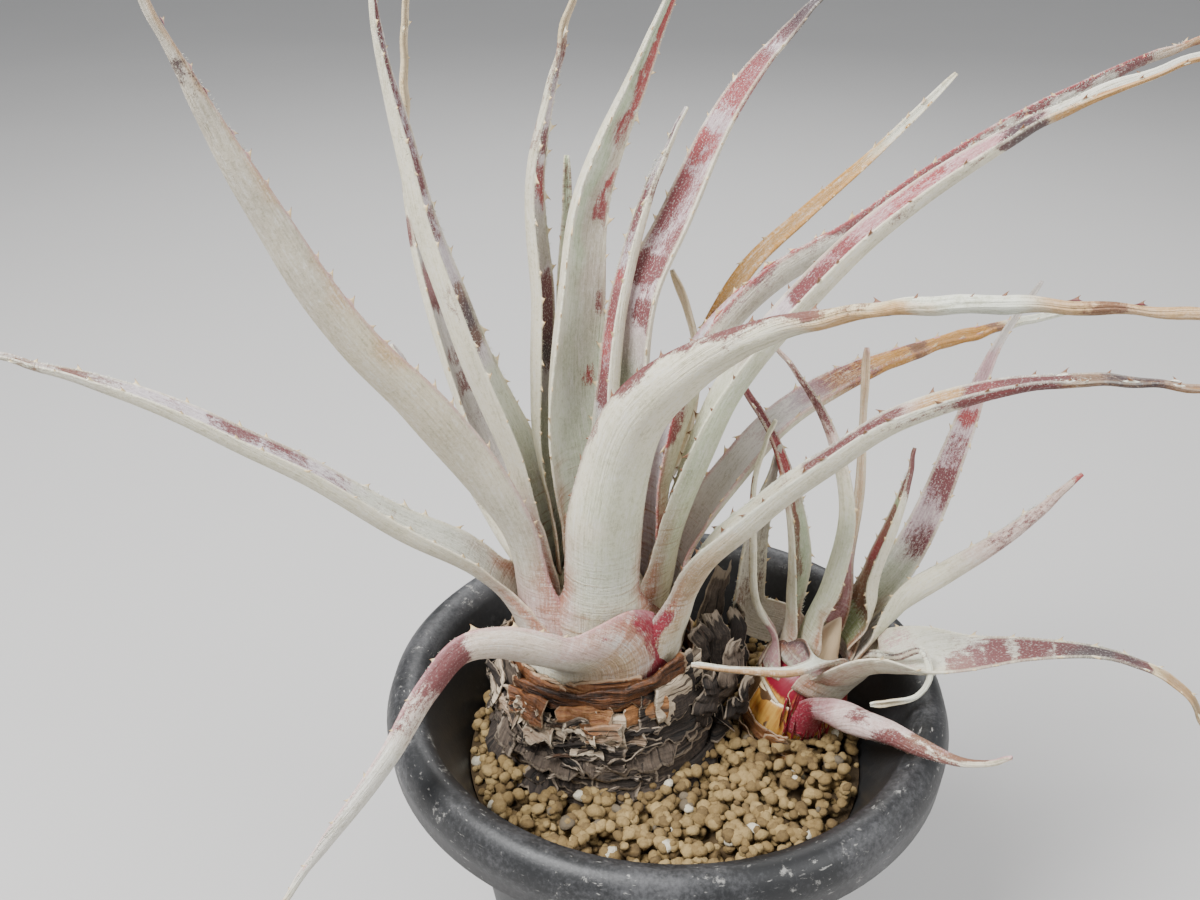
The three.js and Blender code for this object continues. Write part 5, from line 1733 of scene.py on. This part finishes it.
@dataclass(frozen=True)
class BulbFinish:
    """The offset's swollen base: glossy orange-yellow scales with a crimson patch."""

    yellow: Color = (0.68, 0.4, 0.09)
    orange: Color = (0.46, 0.16, 0.03)
    crimson: Color = (0.27, 0.009, 0.028)
    brown: Color = (0.14, 0.075, 0.035)
    straw: Color = (0.72, 0.6, 0.38)

    def material(self) -> bpy.types.Material:
        """Builds the finish.

        Returns:
            The finished material.
        """
        paint = Paint("glossy_bulb_scale")
        flow = paint.part("flow")
        red, rim, brown = paint.split("look")
        streak = paint.weave(flow, (0.1, 0.9, 1), 4.0)
        grain = paint.weave(flow, (0.4, 1.2, 1), 4.0, 0.7)
        cloud = paint.weave(flow, (0.12, 0.12, 1))
        base = paint.blend((streak * 0.5 + cloud * 0.6).step(0.4, 0.68), self.orange, self.yellow)
        dull = (brown + (cloud - 0.5) * 0.9 + (grain - 0.5) * 0.4).step(0.4, 0.75)
        base = paint.blend(dull, base, self.brown)
        flush = (red + (grain - 0.5) * 0.5 + (streak - 0.5) * 0.4).step(0.4, 0.65)
        base = paint.blend(flush, base, self.crimson)
        base = paint.blend((rim + (grain - 0.5) * 0.6).step(0.6, 0.9) * 0.8, base, self.straw)
        paint.bump(streak + grain * 0.2, 0.0005, 0.6)
        return paint.finish(Base_Color=base, Roughness=0.34, Coat_Weight=0.35, Coat_Roughness=0.25)


@dataclass(frozen=True)
class Bulb:
    """The offset's swollen base and the fleshy scales round it.

    A scale's look is its share of crimson and of brown.
    """

    SIDES = 64
    RINGS = 40
    FIBRE_STEPS = 12

    fibres: int = 26
    fibre_seed: int = 23

    scales: tuple[Plate, ...] = (
        Plate(150, 232, (7, 8), (25, 24), (0.1, 0.3), 0.0, 0.0, 0.2, 0.5, 0.1, (0.0, 0.9), True, True),
        Plate(196, 276, (7, 8), (23, 25), (0.5, 0.6), 0.0, 0.0, 0.15, 0.6, 0.1, (0.0, 0.2), True, True),
        Plate(250, 350, (7, 8), (22, 23), (0.3, 0.5), 0.0, 0.0, 0.15, 0.6, 0.1, (0.2, 0.0), True, True),
        Plate(
            236, 338, (23, 17), (32, 33), (0.8, 0.9), 0.0, 0.5, 0.3, 0.6, 0.4, (0.62, 0.0), True, True,
            True,
        ),
        Plate(330, 440, (8, 8), (24, 25), (0.2, 0.4), 0.0, 0.1, 0.25, 0.5, 0.2, (0.1, 0.4), True, True),
        Plate(60, 160, (8, 8), (25, 24), (0.2, 0.4), 0.0, 0.1, 0.25, 0.5, 0.2, (0.1, 0.5), True, True),
    )

    def build(self) -> None:
        """Makes the bulb with its overlapping scales."""
        body = Body()
        self._core(body)
        add_plates(body, PUP_STEM, self.scales, 400.3, 6.1)
        self._fibres(body)
        body.build("fine_pup_stem", BulbFinish().material(), "bulb", "pup_stem")

    def _core(self, body: Body) -> None:
        """Adds the bulb itself, crimson towards its top and brown at its foot.

        Args:
            body: The mesh that takes it.
        """
        reach = np.linspace(0, PUP_STEM.profile[-1][0], self.RINGS)
        reach = np.repeat(reach[:, None], self.SIDES, axis=1)
        turn = np.tile(np.arange(self.SIDES) * 360 / self.SIDES, (self.RINGS, 1))
        slim = mix(1.0, 0.74, smooth(29, 38, reach))
        points, _ = PUP_STEM.wrap(turn, reach, np.maximum(PUP_STEM.radius(reach) * slim - 0.35, 0.3))
        red = bell(turn, 280, 42) * bell(reach, 24, 7) * 1.3
        red = np.maximum(red, smooth(22, 27, reach) * 0.85)
        body.add(
            points, loft_faces(self.RINGS, self.SIDES, first=True, last=True),
            flow=triple(reach, turn * 0.22, 7.0),
            look=triple(red, smooth(31, 35, reach) * 1.3, smooth(9, 4, reach) + 0.15),
        )

    def _fibres(self, body: Body) -> None:
        """Adds the torn crimson fibres that fan out under the lowest leaf.

        Args:
            body: The mesh that takes them.
        """
        draw = random.Random(self.fibre_seed)
        share = np.linspace(0, 1, self.FIBRE_STEPS)
        for k in range(self.fibres):
            start, top = draw.uniform(236, 300), draw.uniform(19, 31)
            turn = start + draw.uniform(8, 26) * share
            along = top + (draw.uniform(13, 19) - top) * share + wobble(share * 3, 800 + k) * 0.7
            reach = PUP_STEM.radius(along) + 0.6 + draw.uniform(0.1, 0.8) * np.sin(share * math.pi)
            line, outward = PUP_STEM.wrap(turn, along, reach)
            look = (draw.uniform(0.75, 1.1), draw.uniform(0.0, 0.2))
            fibre = Ribbon(800 + k, draw.uniform(0.15, 0.5), 0.2)
            fibre.add(body, line, outward, 0.7, 1.5, look)


@dataclass(frozen=True)
class Pot:
    """The tapered pot with its rolled rim and drain holes.

    section is the rim's outline from the outside in, as distances from its radius and its top.
    spokes are the radii of the points between two sectors of the floor.
    """

    LOWER_POINTS = 6
    INNER_POINTS = 3

    base_radius: float = 43.0
    foot_round: float = 1.2
    soil_radius: float = 56.5
    soil_height: float = 92.0
    wall: float = 2.1
    floor: float = 3.0
    rim_radius: float = 75.0
    rim_top: float = 117.5
    sides: int = 120
    drains: int = 6
    drain_ring: float = 27.0
    drain_radius: float = 4.5
    spokes: tuple[float, ...] = (7, 13, 18, 22, 26, 30, 34, 38)
    section: tuple[tuple[float, float], ...] = (
        (-9.4, -8), (-6, -2), (-3.4, -3.6), (-2, -7), (-2.4, -14.1), (-0.6, -14.1), (0, -7),
        (-1.4, -2.8), (-3.6, -0.5), (-6, 0), (-9.4, -1.6), (-11, -5),
    )

    def build(self) -> None:
        """Makes the pot."""
        rim = [(self.rim_radius + out, self.rim_top + up) for out, up in self.section]
        rise = np.linspace(0, 1, 5)[1:-1]
        radii = mix(self.base_radius, self.soil_radius, rise)
        side = zip(radii, mix(self.foot_round, self.soil_height, rise))
        profile = [
            (self.base_radius - 1, 0), (self.base_radius, self.foot_round), *side,
            (self.soil_radius, self.soil_height), *rim,
            (self.soil_radius - self.wall, self.soil_height), (self.base_radius - self.wall, self.floor),
        ]
        rows, look = [], []
        around = np.arange(self.sides) * 2 * math.pi / self.sides
        for i, (radius, height) in enumerate(profile):
            rows.extend((radius * math.cos(turn), radius * math.sin(turn), height) for turn in around)
            on_rim = self.LOWER_POINTS <= i < len(profile) - self.INNER_POINTS
            dusty = 1.0 if on_rim else 0.1 * (i < self.LOWER_POINTS)
            look.extend((math.cos(turn), math.sin(turn), dusty) for turn in around)
        faces = loft_faces(len(profile), self.sides)
        below, holes = self._floor(rows, 0, 0.0)
        above, mouths = self._floor(rows, (len(profile) - 1) * self.sides, self.floor)
        strips = [*zip(holes, below), *zip(above, mouths), *zip(mouths, holes)]
        for first, second in strips:
            faces.extend([first[i - 1], first[i], second[i], second[i - 1]] for i in range(len(first)))
        look.extend([(0, 0, 0)] * (len(rows) - len(look)))
        body = Body()
        body.add(np.array(rows), faces, look=np.array(look))
        body.build("fine_pot", PotFinish().material(), "pot", "pot")

    def _floor(self, rows: list[Point], ring: int, height: float) -> tuple[list[list[int]], list[list[int]]]:
        """Adds one side of the floor.

        Args:
            rows: The points so far, which this adds to.
            ring: Index of the first point of the ring round this side.
            height: Height of this side in millimetres.

        Returns:
            The loops round the sectors, and the loops round the drain holes in them.
        """
        centre = len(rows)
        rows.append((0, 0, height))
        sectors, holes = [], []
        for k in range(self.drains):
            turn = math.pi * (2 * k - 1) / self.drains
            rows.extend((radius * math.cos(turn), radius * math.sin(turn), height) for radius in self.spokes)
        count, step = len(self.spokes), self.sides // self.drains
        for k in range(self.drains):
            here = centre + 1 + k * count
            other = centre + 1 + (k + 1) % self.drains * count
            arc = [ring + (k * step + i - step // 2) % self.sides for i in range(step + 1)]
            loop = [centre, *range(here, here + count), *arc, *reversed(range(other, other + count))]
            turn = 2 * math.pi * k / self.drains
            middle = np.array((self.drain_ring * math.cos(turn), self.drain_ring * math.sin(turn)))
            holes.append(list(range(len(rows), len(rows) + len(loop))))
            for index in loop:
                x, y = middle + unit(np.array(rows[index][:2]) - middle) * self.drain_radius
                rows.append((float(x), float(y), height))
            sectors.append(loop)
        return sectors, holes


@dataclass(frozen=True)
class PotFinish:
    """Dusty, scuffed black plastic."""

    black: Color = (0.013, 0.0135, 0.0145)
    dust: Color = (0.105, 0.105, 0.11)
    scuff: Color = (0.42, 0.41, 0.38)

    def material(self) -> bpy.types.Material:
        """Builds the finish.

        Returns:
            The finished material.
        """
        paint = Paint("dusty_black_plastic")
        place = paint.place()
        dusty = paint.split("look")[2]
        cloud = paint.noise(place, 40.0, 5.0)
        grain = paint.noise(place, 900.0, 3.0, 0.7)
        marks = paint.noise(place, 170.0, 6.0, 0.75)
        lines = paint.weave(paint.part("look"), (14, 14, 0), 2.0)
        thin = paint.noise(paint.stretch(place, (1, 1, 5)), 420.0, 2.0, 0.6)
        dust = (cloud + (grain - 0.5) * 0.6).step(0.38, 0.8) * (dusty * 0.6 + 0.15)
        base = paint.blend(dust, self.black, self.dust)
        scratch = (marks.step(0.6, 0.68) + thin.step(0.64, 0.7) * lines.step(0.45, 0.6)).clamp()
        base = paint.blend(scratch * (dusty * 0.5 + 0.05), base, self.scuff)
        paint.bump(grain + marks * 0.6, 0.00012, 0.5)
        return paint.finish(Base_Color=base, Roughness=(cloud * 0.25 + 0.36).clamp())


@dataclass(frozen=True)
class SoilFinish:
    """Fired clay granules, each with its own shade."""

    deep: Color = (0.1, 0.062, 0.025)
    ochre: Color = (0.235, 0.155, 0.058)
    sand: Color = (0.4, 0.285, 0.125)
    white: Color = (0.62, 0.57, 0.44)
    grey: Color = (0.15, 0.12, 0.08)

    def material(self) -> bpy.types.Material:
        """Builds the finish.

        Returns:
            The finished material.
        """
        paint = Paint("clay_granules")
        shade, special, dark_tone_and_gap_shade = paint.split("look")
        place = paint.place()
        grain = paint.noise(place, 900.0, 5.0, 0.7)
        pores = paint.noise(place, 2600.0, 2.0)
        tone = (shade + (grain - 0.5) * 0.7).clamp()
        base = paint.ramp(tone, ((0.1, self.deep), (0.45, self.ochre), (0.85, self.sand)))
        base = paint.blend(special.step(0.8, 0.9), base, self.white)
        base = paint.blend((0 - special).step(0.8, 0.9), base, self.grey)
        # The look's third number darkens towards the deep colour: a little at random on each granule, and
        # fully on the bed as painted shade in the gaps between granules.
        base = paint.blend((pores.step(0.6, 0.75) * 0.5 + dark_tone_and_gap_shade * 0.5).clamp(), base, self.deep)
        paint.bump(grain + pores * 0.5, 0.0005, 0.9)
        return paint.finish(Base_Color=base, Roughness=0.9)


@dataclass(frozen=True)
class Soil:
    """The bed of granules in the pot.

    A granule's radius is one of sizes. Granules pile up to top at most and leave both stems clear.
    """

    BED_SIDES = 72
    HUB = 0.01
    CELL = 0.8

    radius: float = 54.0
    floor_radius: float = 40.4
    bottom: float = 3.3
    bed: float = 90.6
    top: float = 98.0
    count: int = 2250
    sizes: tuple[float, ...] = (0.9, 1.2, 1.4, 1.6, 1.75, 1.95)
    seed: int = 11
    main_clear: float = 22.5
    offset_place: tuple[float, float] = (32.6, 9.3)
    offset_clear: float = 10

    def build(self) -> None:
        """Makes the bed and its granules."""
        body = Body()
        self._bed(body)
        self._granules(body)
        body.build("fine_soil", SoilFinish().material(), "soil", "soil")

    def _bed(self, body: Body) -> None:
        """Adds the filled bed under the granules.

        Args:
            body: The mesh that takes it.
        """
        profile = (
            (self.HUB, self.bottom), (self.floor_radius, self.bottom),
            (self.radius - 0.2, self.bed), (self.HUB, self.bed),
        )
        rows = []
        for radius, height in profile:
            for j in range(self.BED_SIDES):
                turn = 2 * math.pi * j / self.BED_SIDES
                rows.append((radius * math.cos(turn), radius * math.sin(turn), height))
        # The bed takes the deepest tone and full darkening: painted shade in the gaps between granules.
        body.add(np.array(rows), loft_faces(len(profile), self.BED_SIDES), look=np.array([0.0, 0.0, 1.0]))

    def _free(self, x: float, y: float) -> bool:
        """Whether a place is clear of both stems.

        Args:
            x: Its X.
            y: Its Y.

        Returns:
            True where no stem is.
        """
        main = math.hypot(x - MAIN_STEM.foot[0], y - MAIN_STEM.foot[1])
        offset = math.hypot(x - self.offset_place[0], y - self.offset_place[1])
        return main > self.main_clear and offset > self.offset_clear

    def _granules(self, body: Body) -> None:
        """Drops granules one by one on the bed, over a grid of the ground's height.

        Args:
            body: The mesh that takes them.
        """
        draw = random.Random(self.seed)
        span = int(2 * self.radius / self.CELL) + 4
        ground = np.full((span, span), self.bed)
        ball = unit_ball()
        grid = (np.arange(span) * self.CELL) - span * self.CELL / 2
        gx, gy = np.meshgrid(grid, grid, indexing="ij")
        placed = 0
        while placed < self.count:
            x, y = draw.uniform(-self.radius, self.radius), draw.uniform(-self.radius, self.radius)
            size = draw.choice(self.sizes) * draw.uniform(0.9, 1.1)
            if math.hypot(x, y) > self.radius - size * 0.8 or not self._free(x, y):
                continue
            away = np.hypot(gx - x, gy - y)
            under = away < size * 0.8
            rest = float(np.percentile(ground[under], 80)) + size * 0.55
            if rest + size > self.top:
                rest = self.top - size
            cap = away < size
            top = rest + np.sqrt(np.maximum(size**2 - away**2, 0)) * 0.8
            ground = np.where(cap, np.maximum(ground, top), ground)
            self._granule(body, draw, ball, (x, y, rest), size)
            placed += 1

    @staticmethod
    def _granule(body: Body, draw: random.Random, ball: tuple, place: Point, size: float) -> None:
        """Adds one granule.

        Args:
            body: The body that takes it.
            draw: The soil's random numbers.
            ball: Points and faces of a ball.
            place: Its middle.
            size: Its radius.
        """
        points, faces = ball
        seed = draw.uniform(0, 90)
        bumps = np.array([noise.noise(Vector(p) * 1.1 + Vector((seed, seed, seed))) for p in points])
        shape = points * (1 + 0.3 * bumps)[:, None]
        shape = shape * np.array([draw.uniform(0.85, 1.2), draw.uniform(0.8, 1.1), draw.uniform(0.65, 0.95)])
        turn = Matrix.Rotation(draw.uniform(0, 6.3), 3, "Z")
        turn = np.array(turn @ Matrix.Rotation(draw.uniform(-0.6, 0.6), 3, "X"))
        shape = shape @ turn.T * size + np.array(place)
        kind = draw.random()
        special = 1.0 if kind < 0.03 else (-1.0 if kind > 0.985 else 0.0)
        look = np.array([draw.uniform(0.2, 0.8), special, draw.uniform(0, 0.4)])
        body.add(shape, faces, look=look)


def unit_ball() -> tuple[Array, list[list[int]]]:
    """The points and faces of a ball of radius 1 made of 80 triangles.

    Returns:
        The points and the faces.
    """
    t = (1 + 5**0.5) / 2
    points = [
        (-1, t, 0), (1, t, 0), (-1, -t, 0), (1, -t, 0), (0, -1, t), (0, 1, t),
        (0, -1, -t), (0, 1, -t), (t, 0, -1), (t, 0, 1), (-t, 0, -1), (-t, 0, 1),
    ]
    faces = [
        (0, 11, 5), (0, 5, 1), (0, 1, 7), (0, 7, 10), (0, 10, 11), (1, 5, 9), (5, 11, 4), (11, 10, 2),
        (10, 7, 6), (7, 1, 8), (3, 9, 4), (3, 4, 2), (3, 2, 6), (3, 6, 8), (3, 8, 9), (4, 9, 5),
        (2, 4, 11), (6, 2, 10), (8, 6, 7), (9, 8, 1),
    ]
    points = [tuple(p) for p in unit(np.array(points, float))]
    halves: dict[tuple[int, int], int] = {}

    def half(a: int, b: int) -> int:
        """The index of the point half way between two points.

        Args:
            a: One point's index.
            b: The other's.

        Returns:
            The new point's index.
        """
        key = (min(a, b), max(a, b))
        if key not in halves:
            halves[key] = len(points)
            points.append(tuple(unit(np.array(points[a]) + np.array(points[b]))))
        return halves[key]

    split = []
    for a, b, c in faces:
        ab, bc, ca = half(a, b), half(b, c), half(c, a)
        split.extend([[a, ab, ca], [b, bc, ab], [c, ca, bc], [ab, bc, ca]])
    return np.array(points), split


@dataclass(frozen=True)
class Studio:
    """A pale floor, soft lights and the camera, in metres.

    A light is its name, place, width and power.
    """

    floor: Color = (0.56, 0.55, 0.54)
    floor_half: float = 2.5
    lights: tuple[tuple[str, Point, float, float], ...] = (
        ("key", (-0.45, -0.3, 0.95), 0.5, 21.0),
        ("fill", (0.7, -0.35, 0.6), 0.7, 5.5),
        ("back", (0.1, 0.8, 0.8), 0.6, 6.0),
    )
    aim: Point = (0, 0, 0.16)
    sky: Color = (0.8, 0.82, 0.85)
    sky_strength: float = 0.55
    lens: float = 38.0
    location: Point = (-0.0178, -0.2693, 0.3352)
    pitch: float = 61.0

    def build(self) -> None:
        """Sets up the stage."""
        self._floor()
        for light in self.lights:
            self._light(*light)
        world = bpy.data.worlds.new("studio")
        bpy.context.scene.world = world
        world.use_nodes = True
        background = world.node_tree.nodes["Background"].inputs
        background["Color"].default_value = (*self.sky, 1)
        background["Strength"].default_value = self.sky_strength
        self._camera()

    def _floor(self) -> None:
        """Adds the pale floor."""
        mesh = bpy.data.meshes.new("floor")
        half = self.floor_half
        corners = [(-half, -half, 0), (half, -half, 0), (half, half, 0), (-half, half, 0)]
        mesh.from_pydata(corners, [], [[0, 1, 2, 3]])
        paint = Paint("pale_floor")
        cloud = paint.noise(paint.place(), 6.0, 4.0)
        tone = paint.blend(cloud, self.floor, tuple(value * 0.94 for value in self.floor))
        mesh.materials.append(paint.finish(Base_Color=tone, Roughness=0.85))
        floor = bpy.data.objects.new("floor", mesh)
        bpy.context.scene.collection.objects.link(floor)

    def _light(self, name: str, location: Point, size: float, power: float) -> None:
        """Adds a soft light aimed at the plant.

        Args:
            name: Its name.
            location: Its place.
            size: Its width.
            power: Its power in watts.
        """
        data = bpy.data.lights.new(name, "AREA")
        data.shape = "DISK"
        data.size = size
        data.energy = power
        light = bpy.data.objects.new(name, data)
        light.location = location
        way = Vector(self.aim) - Vector(location)
        light.rotation_euler = way.to_track_quat("-Z", "Y").to_euler()
        bpy.context.scene.collection.objects.link(light)

    def _camera(self) -> None:
        """Adds the camera, looking down on the front of the plant."""
        data = bpy.data.cameras.new("camera")
        data.lens = self.lens
        data.clip_start = 0.01
        camera = bpy.data.objects.new("camera", data)
        camera.location = self.location
        camera.rotation_euler = (math.radians(self.pitch), 0, 0)
        bpy.context.scene.collection.objects.link(camera)
        bpy.context.scene.camera = camera


def main() -> None:
    """Builds the looks in order."""
    logging.basicConfig(level=logging.INFO, format="%(message)s")
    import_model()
    finish = LeafFinish().material("leaf_skin")
    for part in (Pot(), Soil(), DeadBases(), TornBases(), BrownSheath(), Bulb()):
        part.build()
    for leaf in MAIN_LEAVES:
        LeafPiece(leaf, MAIN_STEM, MAIN_LEAF).build(finish)
    for leaf in PUP_LEAVES:
        LeafPiece(leaf, PUP_STEM, PUP_LEAF).build(finish)
    Studio().build()
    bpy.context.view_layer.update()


if __name__ == "__main__":
    main()
